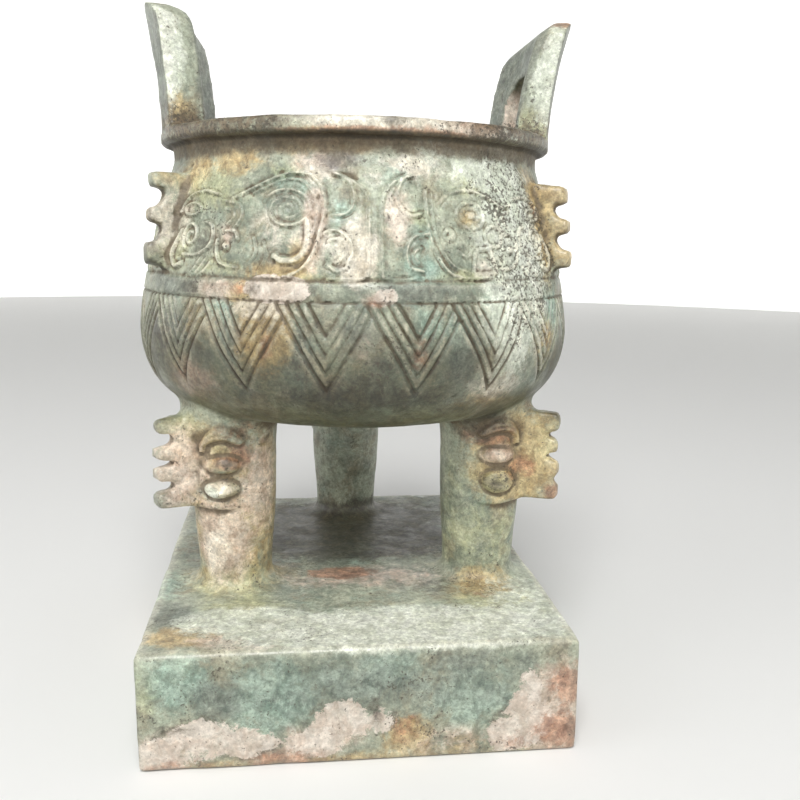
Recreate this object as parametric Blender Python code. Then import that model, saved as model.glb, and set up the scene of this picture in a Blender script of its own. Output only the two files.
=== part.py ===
"""A jade tripod ding: a round bowl on three legs, carved in one piece with the
rectangular block that it stands on. Metres, +Z up, front towards -Y, with the
origin at the middle of the block's underside."""

import math

import bmesh
import bpy
from mathutils import Vector
from mathutils.geometry import delaunay_2d_cdt

# The block
BLOCK_WIDTH = 0.120
BLOCK_DEPTH = 0.140
BLOCK_HEIGHT = 0.0333
BLOCK_EDGE = 0.0016

# Where the ding's axis stands on the block, off the block's middle
DING_X = 0.0025
DING_Y = 0.0074

# The legs, on a circle about the ding's axis, one of them straight back
LEG_HEIGHT = 0.0537
LEG_CIRCLE = 0.0454
LEG_TOP_RADIUS = 0.0130
FOOT_RADIUS = 0.0112
FOOT_FILLET = 0.0014
LEG_AZIMUTHS = (90.0, 210.0, 330.0)

# The bowl, from its flat underside up to its rim
UNDERSIDE_RADIUS = 0.044
BELLY_RADIUS = 0.0695
BELLY_HEIGHT = 0.0258
NECK_RADIUS = 0.0575
NECK_HEIGHT = 0.0758
WALL = 0.0070
FLOOR = 0.0080
RIM_RADIUS = 0.0614
RIM_THICKNESS = 0.0047
RIM_HEIGHT = 0.0849

# The two registers of carving, divided by a plain band between two scored lines
BAND_LOW = 0.0372
BAND_HIGH = 0.0428
MASK_BAND_TOP = 0.0704
VEE_TIP = 0.0134
VEE_STEP = 0.0049
VEE_RIDGES = 3
VEES = 18
SCORE_WIDTH = 0.0012
SCORE_DEPTH = 0.0006
RIDGE_RISE = 0.0003
RELIEF = 0.0008

# The ears, standing on the rim at the left and the right
EAR_WIDTH = 0.0515
EAR_HEIGHT = 0.0364
EAR_OPENING_WIDTH = 0.027
EAR_OPENING_HEIGHT = 0.0215
EAR_SEAT = 0.0015
LEFT_EAR_LEAN = 0.0038
LEFT_EAR_BASE = 0.0114
LEFT_EAR_TOP = 0.0100
RIGHT_EAR_LEAN = 0.0062
RIGHT_EAR_BASE = 0.0102
RIGHT_EAR_TOP = 0.0086

# The toothed flanges, above each leg and on each leg's mask
FLANGE_THICKNESS = 0.0052
BOWL_FLANGE_PROUD = 0.0057
MASK_FLANGE_PROUD = 0.0128
TOOTH_DEPTH = 0.0042
BOWL_FLANGE_LOW = 0.0445
BOWL_FLANGE_HIGH = 0.0715
BOWL_TEETH = 3
MASK_HEIGHT = 0.0292
MASK_RISE = 0.0024
MASK_TEETH = 4
BOWL_FLANGE_LEAN = 0.0022

# The monster mask on each leg, laid round the leg from the flange in degrees
MASK_PROUD = 0.0014
MASK_SPREAD = 84
BROW_PROUD = 0.0022
EYE_TURN = 50
EYE_LEVEL = 0.0149
EYE_SIZE = (0.0052, 0.0024, 0.0021)
CHEEK_TURN = 45
CHEEK_LEVEL = 0.0067
CHEEK_SIZE = (0.0050, 0.0034, 0.0026)

# How finely the round forms are faceted
AROUND = 48
SECTORS = 3
LEG_SIDES = 16
SHARP_ANGLE = math.radians(32)

UNDERSIDE = BLOCK_HEIGHT + LEG_HEIGHT
MASK_TOP = UNDERSIDE + MASK_RISE
MASK_BOTTOM = MASK_TOP - MASK_HEIGHT
SHOULDER_CURVE = 1.4
UNDERCUT_CURVE = 2.2
SECTOR = 2 * math.pi / SECTORS


def outer_radius(height):
    """Radius of the uncarved bowl at a height above its underside."""
    if height <= BELLY_HEIGHT:
        drop = 1 - max(height, 0.0) / BELLY_HEIGHT
        round_in = (1 - drop**UNDERCUT_CURVE) ** (1 / UNDERCUT_CURVE)
        return UNDERSIDE_RADIUS + (BELLY_RADIUS - UNDERSIDE_RADIUS) * round_in
    rise = min((height - BELLY_HEIGHT) / (NECK_HEIGHT - BELLY_HEIGHT), 1.0)
    return NECK_RADIUS + (BELLY_RADIUS - NECK_RADIUS) * (1 - rise**SHOULDER_CURVE)


def inner_radius(height):
    """Radius of the hollow at a height above the bowl's underside."""
    if height >= BELLY_HEIGHT:
        return outer_radius(height) - WALL
    drop = 1 - (height - FLOOR) / (BELLY_HEIGHT - FLOOR)
    round_in = (1 - drop**UNDERCUT_CURVE) ** (1 / UNDERCUT_CURVE)
    flat = UNDERSIDE_RADIUS - WALL
    return flat + (BELLY_RADIUS - WALL - flat) * round_in


# Carving is laid out unrolled: x runs round the bowl, measured at this radius
UNROLL_RADIUS = outer_radius(BAND_HIGH)
HALF_MASK = UNROLL_RADIUS * SECTOR / 2
BAND = MASK_BAND_TOP - BAND_HIGH


def arc(x, y, width, height, start, end, steps):
    """Points along an ellipse, in degrees."""
    turn = [math.radians(start + (end - start) * i / steps) for i in range(steps + 1)]
    return [(x + width * math.cos(a), y + height * math.sin(a)) for a in turn]


def spiral(x, y, inner, outer, start, turns, steps):
    """Points along a spiral from its eye outwards."""
    points = []
    for i in range(steps + 1):
        share = i / steps
        angle = math.radians(start + 360 * turns * share)
        radius = inner + (outer - inner) * share
        points.append((x + radius * math.cos(angle), y + radius * math.sin(angle)))
    return points


def bend(*through, steps=2):
    """A smooth line through a few points."""
    ends = [through[0], *through, through[-1]]
    points = []
    for before, a, b, after in zip(ends, ends[1:], ends[2:], ends[3:]):
        for i in range(steps):
            t = i / steps
            points.append(
                tuple(
                    q + (r - p) * t / 2 + (2 * p - 5 * q + 4 * r - s) * t**2 / 2
                    + (3 * q - p - 3 * r + s) * t**3 / 2
                    for p, q, r, s in zip(before, a, b, after)
                )
            )
    return points + [through[-1]]


def half_mask(side):
    """Ridges of half a monster mask, as (width, points), in shares of the carved band's
    height, out from the nose. The left half's horn coils, the right half has a ring eye."""
    horn = bend((1.56, 0.76), (1.02, 0.95), (0.66, 0.94), (0.53, 0.66), (0.56, 0.36), (0.80, 0.05))
    ridges = [
        (0.05, [(0.45, 0.05), (0.07, 0.05), (0.07, 0.86), (0.24, 0.94), (0.45, 0.98)]),
        (0.07, arc(0.47, 0.78, 0.24, 0.18, 80, 280, 6)),
        (0.07, arc(0.47, 0.29, 0.21, 0.15, 80, 280, 6)),
        (0.06, horn),
        (0.13, bend((0.66, 0.54), (0.68, 0.34), (0.96, 0.20))),
        (0.06, spiral(2.08, 0.40, 0.05, 0.17, 60, 1.25, 8)),
        (0.10, bend((2.28, 0.38), (2.36, 0.18), (2.20, 0.12))),
        (0.06, bend((2.16, 0.20), (1.82, 0.27), (1.86, 0.53))),
        (0.06, bend((1.44, 0.36), (1.64, 0.43), (1.60, 0.13))),
        (0.06, bend((1.68, 0.68), (1.54, 0.62), (1.62, 0.52))),
        (0.05, [(2.00, 0.04), (1.84, 0.14)]),
    ]
    if side < 0:
        ridges.append((0.06, spiral(0.92, 0.65, 0.05, 0.24, 200, 1.75, 13)))
    else:
        ridges.append((0.07, arc(1.06, 0.62, 0.18, 0.13, 0, 360, 9)))
    return [(width, [(side * x, y) for x, y in points]) for width, points in ridges]


def offset_line(points, distance):
    """The line shifted sideways, keeping to the corners' bisectors."""
    shifted = []
    for i, (x, y) in enumerate(points):
        ax, ay = points[max(i - 1, 0)]
        bx, by = points[min(i + 1, len(points) - 1)]
        length = math.hypot(bx - ax, by - ay) or 1.0
        shifted.append((x - distance * (by - ay) / length, y + distance * (bx - ax) / length))
    return shifted


VEES_IN_SECTOR = round(VEES / SECTORS)
VEE_HALF = HALF_MASK / VEES_IN_SECTOR
VEE_SLOPE = VEE_HALF / (BAND_LOW - VEE_TIP)
SCORE = SCORE_WIDTH / 2


def vee_line(middle, rise):
    """One line of a nested vee, raised over the outermost one and ending at the scored line or
    at the next vee."""
    tip = VEE_TIP + rise
    reach = min(VEE_SLOPE * (BAND_LOW - tip), VEE_HALF)
    end = tip + reach / VEE_SLOPE
    arm = [(reach, end), (reach / 2, (tip + end) / 2)]
    left = [(middle - x, y) for x, y in arm]
    return [*left, (middle, tip), *((middle + x, y) for x, y in reversed(arm))]


def vee_rises():
    """Where the ridges and the scores between them lie: edges, crests and scores in turn."""
    last = VEE_RIDGES * VEE_STEP
    return [-SCORE, *(i * VEE_STEP / 2 for i in range(2 * VEE_RIDGES + 1)), last + SCORE]


def vee_relief(x, y):
    """Height of the vees' ridges over the plain belly."""
    number = math.floor((x + HALF_MASK) / (2 * VEE_HALF))
    middle = HALF_MASK * ((2 * number + 1) / VEES_IN_SECTOR - 1)
    rise = y - VEE_TIP - abs(x - middle) / VEE_SLOPE
    last = VEE_RIDGES * VEE_STEP
    if y > BAND_LOW:
        return 0.0
    if rise < 0:
        return -SCORE_DEPTH * max(0.0, 1 + rise / SCORE)
    if rise > last:
        return -SCORE_DEPTH * max(0.0, 1 - (rise - last) / SCORE)
    from_score = 1 - abs(2 * (rise / VEE_STEP % 1) - 1)
    return -SCORE_DEPTH + (SCORE_DEPTH + RIDGE_RISE) * from_score


def carved_ridges():
    """The masks' ridges of one sector: half width, own points and those of the two edges."""
    ridges = []
    for side in (-1, 1):
        for width, points in half_mask(side):
            placed = [(x * BAND, BAND_HIGH + y * BAND) for x, y in points]
            half = width * BAND / 2
            ridges.append((half, placed, [offset_line(placed, d) for d in (half, -half)]))
    return ridges


def distance_to(line, x, y):
    """Distance from a point to a line of straight stretches."""
    nearest = math.inf
    for (ax, ay), (bx, by) in zip(line, line[1:]):
        ux, uy = bx - ax, by - ay
        along = ((x - ax) * ux + (y - ay) * uy) / (ux * ux + uy * uy)
        along = min(max(along, 0.0), 1.0)
        nearest = min(nearest, math.hypot(x - ax - along * ux, y - ay - along * uy))
    return nearest


def relief_at(ridges, x, y):
    """Height of the carving over the plain bowl. The two scored lines cut through it."""
    for line in (BAND_LOW, BAND_HIGH):
        if abs(y - line) < SCORE:
            return -SCORE_DEPTH * (1 - abs(y - line) / SCORE)
    if y < BAND_LOW:
        return vee_relief(x, y)
    shares = (1 - distance_to(points, x, y) / half_width for half_width, points, _ in ridges)
    return RELIEF * max(0.0, *shares)


def carved_levels(low, high):
    """Heights of the wall's rows, close together only at the two scored lines."""
    stretches = (
        (low, BAND_LOW - SCORE, 2),
        (BAND_LOW - SCORE, BAND_LOW + SCORE, 2),
        (BAND_LOW + SCORE, BAND_HIGH - SCORE, 1),
        (BAND_HIGH - SCORE, BAND_HIGH + SCORE, 2),
        (BAND_HIGH + SCORE, high, 4),
    )
    levels = [low]
    for start, end, steps in stretches:
        levels += [start + (end - start) * (i + 1) / steps for i in range(steps)]
    return levels


CARVED_LOW = VEE_TIP * 0.75
CARVED_HIGH = MASK_BAND_TOP + BAND * 0.05


def carved_sector():
    """One third of the carved wall, unrolled: points (x, height, relief) and triangles."""
    columns = round(AROUND / SECTORS)
    grid = [HALF_MASK * (2 * i / columns - 1) for i in range(columns + 1)]
    levels = carved_levels(CARVED_LOW, CARVED_HIGH)
    ridges = carved_ridges()
    lines = [line for _, points, sides in ridges for line in (points, *sides)]
    for i in range(VEES_IN_SECTOR):
        middle = HALF_MASK * ((2 * i + 1) / VEES_IN_SECTOR - 1)
        lines += [vee_line(middle, rise) for rise in vee_rises()]
    coords, edges = [], []
    for line in lines:
        edges += [(len(coords) + i, len(coords) + i + 1) for i in range(len(line) - 1)]
        coords += [(min(max(x, -HALF_MASK), HALF_MASK), y) for x, y in line]
    clear = HALF_MASK / columns / 2
    carved = list(coords)
    for y in levels:
        for x in grid:
            kept = y in (CARVED_LOW, CARVED_HIGH) or x in (grid[0], grid[-1])
            if kept or all(math.hypot(x - a, y - b) > clear for a, b in carved):
                coords.append((x, y))
    points, _, faces, *_ = delaunay_2d_cdt([Vector(c) for c in coords], edges, [], 0, 1e-6)
    return [(x, y, relief_at(ridges, x, y)) for x, y in points], faces


def outwards(degrees):
    """The level direction at an azimuth."""
    angle = math.radians(degrees)
    return Vector((math.cos(angle), math.sin(angle), 0))


UP = Vector((0, 0, 1))
AXIS = Vector((DING_X, DING_Y, 0))
FRONT = -90


def on_bowl(x, height, relief, turn):
    """A point of the unrolled carving, put on the bowl."""
    azimuth = FRONT + turn + math.degrees(x / UNROLL_RADIUS)
    return AXIS + outwards(azimuth) * (outer_radius(height) + relief) + UP * (UNDERSIDE + height)


def add_rings(bm, profile):
    """A turned surface about the ding's axis through (radius, height) points."""
    around = SECTORS * round(AROUND / SECTORS)
    rings = []
    for radius, height in profile:
        ring = []
        for i in range(around if radius else 1):
            azimuth = FRONT + 360 * (0.5 / SECTORS + i / around)
            ring.append(bm.verts.new(AXIS + outwards(azimuth) * radius + UP * (UNDERSIDE + height)))
        rings.append(ring)
    for one, two in zip(rings, rings[1:]):
        for i in range(around):
            j = (i + 1) % around
            corners = [one[i % len(one)], one[j % len(one)], two[j % len(two)], two[i % len(two)]]
            bm.faces.new(list(dict.fromkeys(corners)))


def bowl_wall():
    """The bowl and its rim as one closed shell, open at the mouth."""
    bm = bmesh.new()
    points, faces = carved_sector()
    for sector in range(SECTORS):
        placed = [bm.verts.new(on_bowl(*point, sector * 360 / SECTORS)) for point in points]
        for face in faces:
            bm.faces.new([placed[i] for i in face])
    edge = RIM_THICKNESS * 0.18
    lip = RIM_HEIGHT - RIM_THICKNESS
    under = [(outer_radius(h), h) for h in (BELLY_HEIGHT * s for s in (0.0, 0.04, 0.16))]
    add_rings(bm, [(0.0, 0.0), *under, (outer_radius(CARVED_LOW), CARVED_LOW)])
    rim = [
        (outer_radius(CARVED_HIGH), CARVED_HIGH),
        (NECK_RADIUS, NECK_HEIGHT),
        (NECK_RADIUS, lip - edge),
        (RIM_RADIUS, lip + edge),
        (RIM_RADIUS, RIM_HEIGHT - edge),
        (RIM_RADIUS - edge, RIM_HEIGHT),
        (NECK_RADIUS - WALL, RIM_HEIGHT),
    ]
    wall = [NECK_HEIGHT + (BELLY_HEIGHT - NECK_HEIGHT) * s for s in (0, 0.45, 1)]
    bottom = [FLOOR + (BELLY_HEIGHT - FLOOR) * s for s in (0.4, 0.08, 0.0)]
    add_rings(bm, [*rim, *((inner_radius(h), h) for h in wall + bottom), (0.0, FLOOR)])
    bmesh.ops.remove_doubles(bm, verts=bm.verts, dist=1e-6)
    bmesh.ops.recalc_face_normals(bm, faces=bm.faces)
    return bm


def loft(sections):
    """A closed solid through sections of equally many points, capped at both ends."""
    bm = bmesh.new()
    rings = [[bm.verts.new(point) for point in section] for section in sections]
    for one, two in zip(rings, rings[1:]):
        for i in range(len(one)):
            j = (i + 1) % len(one)
            bm.faces.new((one[i], one[j], two[j], two[i]))
    bm.faces.new(rings[0])
    bm.faces.new(rings[-1])
    bmesh.ops.recalc_face_normals(bm, faces=bm.faces)
    return bm


def on_leg(azimuth, turn, radius, height):
    """A point round a leg's own axis, turned in degrees from its outward side."""
    return AXIS + outwards(azimuth) * LEG_CIRCLE + outwards(azimuth + turn) * radius + UP * height


LEG_SINK = FLOOR / 2


def leg(azimuth):
    """A round leg that narrows to its foot, filleted into the block and sunk in the bowl."""
    foot = FOOT_RADIUS + FOOT_FILLET
    profile = [
        (foot, BLOCK_HEIGHT - LEG_SINK),
        (foot, BLOCK_HEIGHT),
        (FOOT_RADIUS + FOOT_FILLET * 0.3, BLOCK_HEIGHT + FOOT_FILLET * 0.5),
        (FOOT_RADIUS, BLOCK_HEIGHT + FOOT_FILLET * 1.6),
        (FOOT_RADIUS + (LEG_TOP_RADIUS - FOOT_RADIUS) * 0.45, (BLOCK_HEIGHT + MASK_BOTTOM) / 2),
        (LEG_TOP_RADIUS, MASK_BOTTOM),
        (LEG_TOP_RADIUS, UNDERSIDE + LEG_SINK),
    ]
    turns = [360 * i / LEG_SIDES for i in range(LEG_SIDES)]
    return loft([[on_leg(azimuth, turn, *place) for turn in turns] for place in profile])


def mask_radius(turn):
    """Radius of the mask's face about the leg's axis, dying away to the leg at its sides."""
    return LEG_TOP_RADIUS + MASK_PROUD * math.cos(math.radians(turn * 90 / MASK_SPREAD))


def mask_face(azimuth):
    """The swelling of the leg's outer side that the monster mask is carved on."""
    turns = [MASK_SPREAD * (i / 4 - 1) for i in range(9)]
    edge = MASK_PROUD * 0.6
    levels = ((edge, MASK_BOTTOM), (0.0, MASK_BOTTOM + edge), (0.0, UNDERSIDE + FLOOR * 0.7))
    sections = []
    for inset, height in levels:
        face = [on_leg(azimuth, turn, mask_radius(turn) - inset, height) for turn in turns]
        back = [on_leg(azimuth, turn, LEG_TOP_RADIUS * 0.6, height) for turn in (turns[-1], turns[0])]
        sections.append(face + back)
    return loft(sections)


def boss(azimuth, turn, level, size):
    """A rounded boss on the mask, an eye or a cheek, of half this width, height and depth."""
    half_width, half_height, proud = size
    bm = bmesh.new()
    bmesh.ops.create_uvsphere(bm, u_segments=8, v_segments=6, radius=1)
    out = outwards(azimuth + turn)
    along = UP.cross(out)
    centre = on_leg(azimuth, turn, mask_radius(turn), MASK_BOTTOM + level)
    for vert in bm.verts:
        x, y, z = vert.co
        vert.co = centre + along * z * half_width + out * x * proud + UP * y * half_height
    bmesh.ops.recalc_face_normals(bm, faces=bm.faces)
    return bm


def brow(azimuth, side):
    """The brow: a crescent ridge that starts beside the flange and arches over the eye."""
    sections = []
    steps = 6
    for i in range(steps + 1):
        share = i / steps
        turn = side * (14 + 74 * share)
        height = MASK_TOP - MASK_HEIGHT * (0.40 - 0.29 * math.sin(math.pi * share * 0.8))
        thick = MASK_HEIGHT * (0.02 + 0.05 * math.sin(math.pi * share))
        top = mask_radius(turn) + BROW_PROUD * math.sin(math.pi * (0.15 + 0.7 * share))
        root = LEG_TOP_RADIUS - 0.002
        sections.append([
            on_leg(azimuth, turn, root, height - thick),
            on_leg(azimuth, turn, top, height - thick * 0.5),
            on_leg(azimuth, turn, top, height + thick * 0.5),
            on_leg(azimuth, turn, root, height + thick),
        ])
    return loft(sections)


def flange(azimuth, low, high, teeth, tips, roots, lean):
    """An upright plate through the ding's axis, with its outer edge cut into teeth whose tips
    reach out to a radius. roots are the radii of its buried side at its top, middle and foot."""
    pitch = (high - low) / (teeth - 0.3)
    outline = list(zip(roots, (high, (low + high) / 2, low)))
    for tooth in range(teeth):
        start = low + tooth * pitch
        end = start + pitch * 0.7
        tip = tips - lean * tooth / (teeth - 1)
        floor = tip - TOOTH_DEPTH
        if tooth:
            outline.append((floor, start - pitch * 0.05))
        outline += [(tip, start + pitch * 0.08 * bool(tooth)), (tip, end - pitch * 0.05)]
        if tooth < teeth - 1:
            outline.append((floor, end + pitch * 0.03))
    out = outwards(azimuth)
    across = UP.cross(out)
    sections = []
    for side in (-0.5, 0.5):
        offset = AXIS + across * side * FLANGE_THICKNESS
        sections.append([offset + out * radius + UP * height for radius, height in outline])
    return loft(sections)


def bowl_flange(azimuth):
    low, high = BOWL_FLANGE_LOW, BOWL_FLANGE_HIGH
    roots = [outer_radius(height) - WALL / 2 for height in (high, (low + high) / 2, low)]
    ends = (UNDERSIDE + low, UNDERSIDE + high)
    tips = outer_radius(low) + BOWL_FLANGE_PROUD
    return flange(azimuth, *ends, BOWL_TEETH, tips, roots, BOWL_FLANGE_LEAN)


def mask_flange(azimuth):
    roots = [LEG_CIRCLE + LEG_TOP_RADIUS / 2] * 3
    tips = LEG_CIRCLE + LEG_TOP_RADIUS + MASK_FLANGE_PROUD
    return flange(azimuth, MASK_BOTTOM, MASK_TOP, MASK_TEETH, tips, roots, 0.0)


def ear(side, lean, base, top):
    """An upright loop handle that follows the rim and leans outwards, base and top thick.
    Sections run up one post, over the arched top and down the other."""
    outer = [(1, 0), (1, 0.4), (1, 0.74), (0.94, 0.84), (0.76, 0.91), (0.5, 0.96), (0.25, 0.99), (0, 1)]
    inner = [(1, 0), (1, 0.35), (1, 0.6), (0.93, 0.78), (0.74, 0.91), (0.48, 0.98), (0.24, 1), (0, 1)]
    stations = list(zip(outer, inner))
    stations += [((-a, b), (-c, d)) for (a, b), (c, d) in reversed(stations[:-1])]
    sections = []
    for (ox, oz), (ix, iz) in stations:
        x, z = ox * EAR_WIDTH / 2, oz * EAR_HEIGHT
        hole_x, hole_z = ix * EAR_OPENING_WIDTH / 2, iz * EAR_OPENING_HEIGHT
        soft = top * 0.4 * oz
        low_x, low_z = x * (1 - soft / EAR_WIDTH), z - soft * oz
        corners = [
            (x, z, 0.0),
            (x, z, 0.62 if oz else 0.9),
            (low_x, low_z, 1.0),
            (hole_x, hole_z, 1.0),
            (hole_x, hole_z, 0.0),
        ]
        section = []
        for along, height, depth in corners:
            up = height / EAR_HEIGHT
            thick = base + (top - base) * up
            radius = RIM_RADIUS + lean * (0.23 * up + 0.77 * up * up) - thick * depth
            seat = UNDERSIDE + RIM_HEIGHT - (EAR_SEAT if height == 0 else 0)
            round_rim = outwards(math.degrees(along / RIM_RADIUS))
            round_rim.x *= side
            section.append(AXIS + round_rim * radius + UP * (seat + height))
        sections.append(section)
    return loft(sections)


def block():
    """The rectangular block, its edges worn round."""
    bm = bmesh.new()
    bmesh.ops.create_cube(bm, size=1)
    bmesh.ops.scale(bm, vec=(BLOCK_WIDTH, BLOCK_DEPTH, BLOCK_HEIGHT), verts=bm.verts)
    bmesh.ops.translate(bm, vec=(0, 0, BLOCK_HEIGHT / 2), verts=bm.verts)
    bmesh.ops.bevel(bm, geom=bm.edges, offset=BLOCK_EDGE, segments=2, profile=0.5, affect="EDGES")
    return bm


for thing in list(bpy.data.objects):
    bpy.data.objects.remove(thing)

jade = bpy.data.materials.new("weathered_jade")
jade.use_nodes = True
shader = jade.node_tree.nodes["Principled BSDF"]
shader.inputs["Base Color"].default_value = (0.32, 0.36, 0.26, 1)
shader.inputs["Roughness"].default_value = 0.45
shader.inputs["Metallic"].default_value = 0.0


def make_object(name, bm, collection):
    mesh = bpy.data.meshes.new(name)
    bm.to_mesh(mesh)
    bm.free()
    mesh.materials.append(jade)
    mesh.shade_smooth()
    mesh.set_sharp_from_angle(angle=SHARP_ANGLE)
    made = bpy.data.objects.new(name, mesh)
    collection.objects.link(made)
    return made


# The stone is one body: the bowl, with every other form united with it
forms = bpy.data.collections.new("forms_of_the_stone")
bpy.context.scene.collection.children.link(forms)
make_object("block_form", block(), forms)
make_object("left_ear_form", ear(-1, LEFT_EAR_LEAN, LEFT_EAR_BASE, LEFT_EAR_TOP), forms)
make_object("right_ear_form", ear(1, RIGHT_EAR_LEAN, RIGHT_EAR_BASE, RIGHT_EAR_TOP), forms)
for number, azimuth in enumerate(LEG_AZIMUTHS):
    make_object(f"leg_form_{number}", leg(azimuth), forms)
    make_object(f"mask_form_{number}", mask_face(azimuth), forms)
    make_object(f"bowl_flange_form_{number}", bowl_flange(azimuth), forms)
    make_object(f"mask_flange_form_{number}", mask_flange(azimuth), forms)
    for side in (-1, 1):
        label = f"{number}_{'right' if side > 0 else 'left'}"
        make_object(f"brow_form_{label}", brow(azimuth, side), forms)
        eye = boss(azimuth, side * EYE_TURN, EYE_LEVEL, EYE_SIZE)
        make_object(f"eye_form_{label}", eye, forms)
        cheek = boss(azimuth, side * CHEEK_TURN, CHEEK_LEVEL, CHEEK_SIZE)
        make_object(f"cheek_form_{label}", cheek, forms)
for form in forms.objects:
    form.hide_render = True
    form.display_type = "WIRE"

ding = make_object("jade_ding", bowl_wall(), bpy.context.scene.collection)
union = ding.modifiers.new("one stone", "BOOLEAN")
union.operation = "UNION"
union.solver = "EXACT"
union.operand_type = "COLLECTION"
union.collection = forms
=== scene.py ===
"""A jade tripod ding. Its bowl, ears, flanges, legs and block are carved from one stone."""

import math
from itertools import product

import bpy
import numpy as np
from mathutils import Matrix, Vector


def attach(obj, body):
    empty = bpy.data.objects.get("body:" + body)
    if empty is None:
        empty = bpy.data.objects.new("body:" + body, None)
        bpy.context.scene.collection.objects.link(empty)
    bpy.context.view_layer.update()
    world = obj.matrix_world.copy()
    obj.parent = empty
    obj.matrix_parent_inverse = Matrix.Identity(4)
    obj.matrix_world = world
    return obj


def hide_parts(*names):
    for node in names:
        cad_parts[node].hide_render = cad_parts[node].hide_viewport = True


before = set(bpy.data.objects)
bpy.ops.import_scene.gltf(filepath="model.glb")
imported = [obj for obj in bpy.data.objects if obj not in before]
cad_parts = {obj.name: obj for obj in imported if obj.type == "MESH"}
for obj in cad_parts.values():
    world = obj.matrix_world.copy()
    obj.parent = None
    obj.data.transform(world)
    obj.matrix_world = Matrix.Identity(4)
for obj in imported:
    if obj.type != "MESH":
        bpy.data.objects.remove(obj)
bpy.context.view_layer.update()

# The block: a slab of the same jade that the three feet run into. It was sawn square and
# rubbed flat, and its edges and corners have worn round.
BLOCK_WIDTH, BLOCK_DEPTH, BLOCK_HEIGHT = 120, 140, 33.3
BLOCK_EDGE = 0.9


def edit_all():
    """Opens what is active for editing, with all its faces selected."""
    bpy.ops.object.mode_set(mode="EDIT")
    bpy.ops.mesh.select_all(action="SELECT")


bpy.ops.object.select_all(action="DESELECT")
block_size = (BLOCK_WIDTH, BLOCK_DEPTH, BLOCK_HEIGHT)
bpy.ops.mesh.primitive_cube_add(size=1, location=(0, 0, BLOCK_HEIGHT / 2), scale=block_size)
block = bpy.context.object
block.name = "block_form"
bpy.ops.object.transform_apply(location=True, rotation=True, scale=True)
edit_all()
bpy.ops.mesh.bevel(offset=BLOCK_EDGE, segments=3, affect="EDGES")
bpy.ops.object.mode_set(mode="OBJECT")

# The legs: three round posts, one straight back, left standing when the stone between them was
# cut away. Each narrows to its foot and flares where it runs into the bowl and the block.
AXIS = Vector((2.5, 7.4, 0))
LEG_AZIMUTHS = (90, 210, 330)
LEG_CIRCLE = 45.4
LEG_RADIUS = 13.0
UNDERSIDE = 87.0
# A leg's (radius, height), from inside the block up to inside the bowl.
LEG_PROFILE = (
    (14.0, 28.0), (13.4, 33.0), (12.2, 34.0), (11.5, 35.6), (11.3, 38.0), (11.7, 46.0),
    (12.4, 54.0), (12.9, 62.0), (13.0, 78.0), (13.5, 83.0), (14.5, 86.5), (16.0, 89.5),
)
AROUND = 96


def outwards(azimuth):
    """The level direction at an azimuth in degrees, -90 being the front."""
    angle = math.radians(azimuth)
    return Vector((math.cos(angle), math.sin(angle), 0))


def turned(name, centre, profile):
    """A form turned about an upright axis: a disc drawn through (radius, height) rings."""
    radius, height = profile[0]
    bpy.ops.object.select_all(action="DESELECT")
    place = (centre.x, centre.y, height)
    bpy.ops.mesh.primitive_circle_add(vertices=AROUND, radius=radius, fill_type="NGON", location=place)
    form = bpy.context.object
    form.name = name
    edit_all()
    for next_radius, next_height in profile[1:]:
        rise = (0, 0, next_height - height)
        bpy.ops.mesh.extrude_region_move(TRANSFORM_OT_translate={"value": rise})
        grow = next_radius / radius
        middle = (centre.x, centre.y, next_height)
        bpy.ops.transform.resize(value=(grow, grow, 1), center_override=middle)
        radius, height = next_radius, next_height
    bpy.ops.mesh.select_all(action="SELECT")
    bpy.ops.mesh.normals_make_consistent(inside=False)
    bpy.ops.object.mode_set(mode="OBJECT")
    bpy.ops.object.transform_apply(location=True, rotation=True, scale=True)
    return form


forms = [block]
for azimuth in LEG_AZIMUTHS:
    forms.append(turned(f"leg_form_{azimuth}", AXIS + outwards(azimuth) * LEG_CIRCLE, LEG_PROFILE))

# The bowl: hollowed from the top to a wall of 7 mm, with a flat underside, a full belly, a
# neck that draws in and a flat rim that stands out over it.
UNDERSIDE_RADIUS = 44.0
BELLY_RADIUS = 69.5
BELLY_HEIGHT = 25.8
NECK_RADIUS = 57.5
NECK_HEIGHT = 75.8
WALL = 7.0
FLOOR = 8.0
RIM_RADIUS = 61.4
RIM_THICKNESS = 4.7
RIM_HEIGHT = 84.9
UNDERCUT_CURVE = 2.2
SHOULDER_CURVE = 1.4
RIM_SOFT = 0.6
UNDER_RINGS, SHOULDER_RINGS, INSIDE_RINGS = 14, 18, 12


def rounded_in(drop):
    """How far a curve under the belly has swelled out, at a share of the way down from it."""
    return (1 - np.clip(drop, 0, 1) ** UNDERCUT_CURVE) ** (1 / UNDERCUT_CURVE)


def outer_radius(height):
    """Radius of the uncarved bowl at heights above its underside."""
    height = np.asarray(height, float)
    swell = rounded_in(1 - height / BELLY_HEIGHT)
    below = UNDERSIDE_RADIUS + (BELLY_RADIUS - UNDERSIDE_RADIUS) * swell
    rise = np.clip((height - BELLY_HEIGHT) / (NECK_HEIGHT - BELLY_HEIGHT), 0, 1)
    above = NECK_RADIUS + (BELLY_RADIUS - NECK_RADIUS) * (1 - rise**SHOULDER_CURVE)
    return np.where(height < BELLY_HEIGHT, below, above)


def inner_radius(height):
    """Radius of the hollow at heights above the bowl's underside."""
    height = np.asarray(height, float)
    swell = rounded_in(1 - (height - FLOOR) / (BELLY_HEIGHT - FLOOR))
    flat = UNDERSIDE_RADIUS - WALL
    below = flat + (BELLY_RADIUS - WALL - flat) * swell
    return np.where(height < BELLY_HEIGHT, below, outer_radius(height) - WALL)


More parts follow.
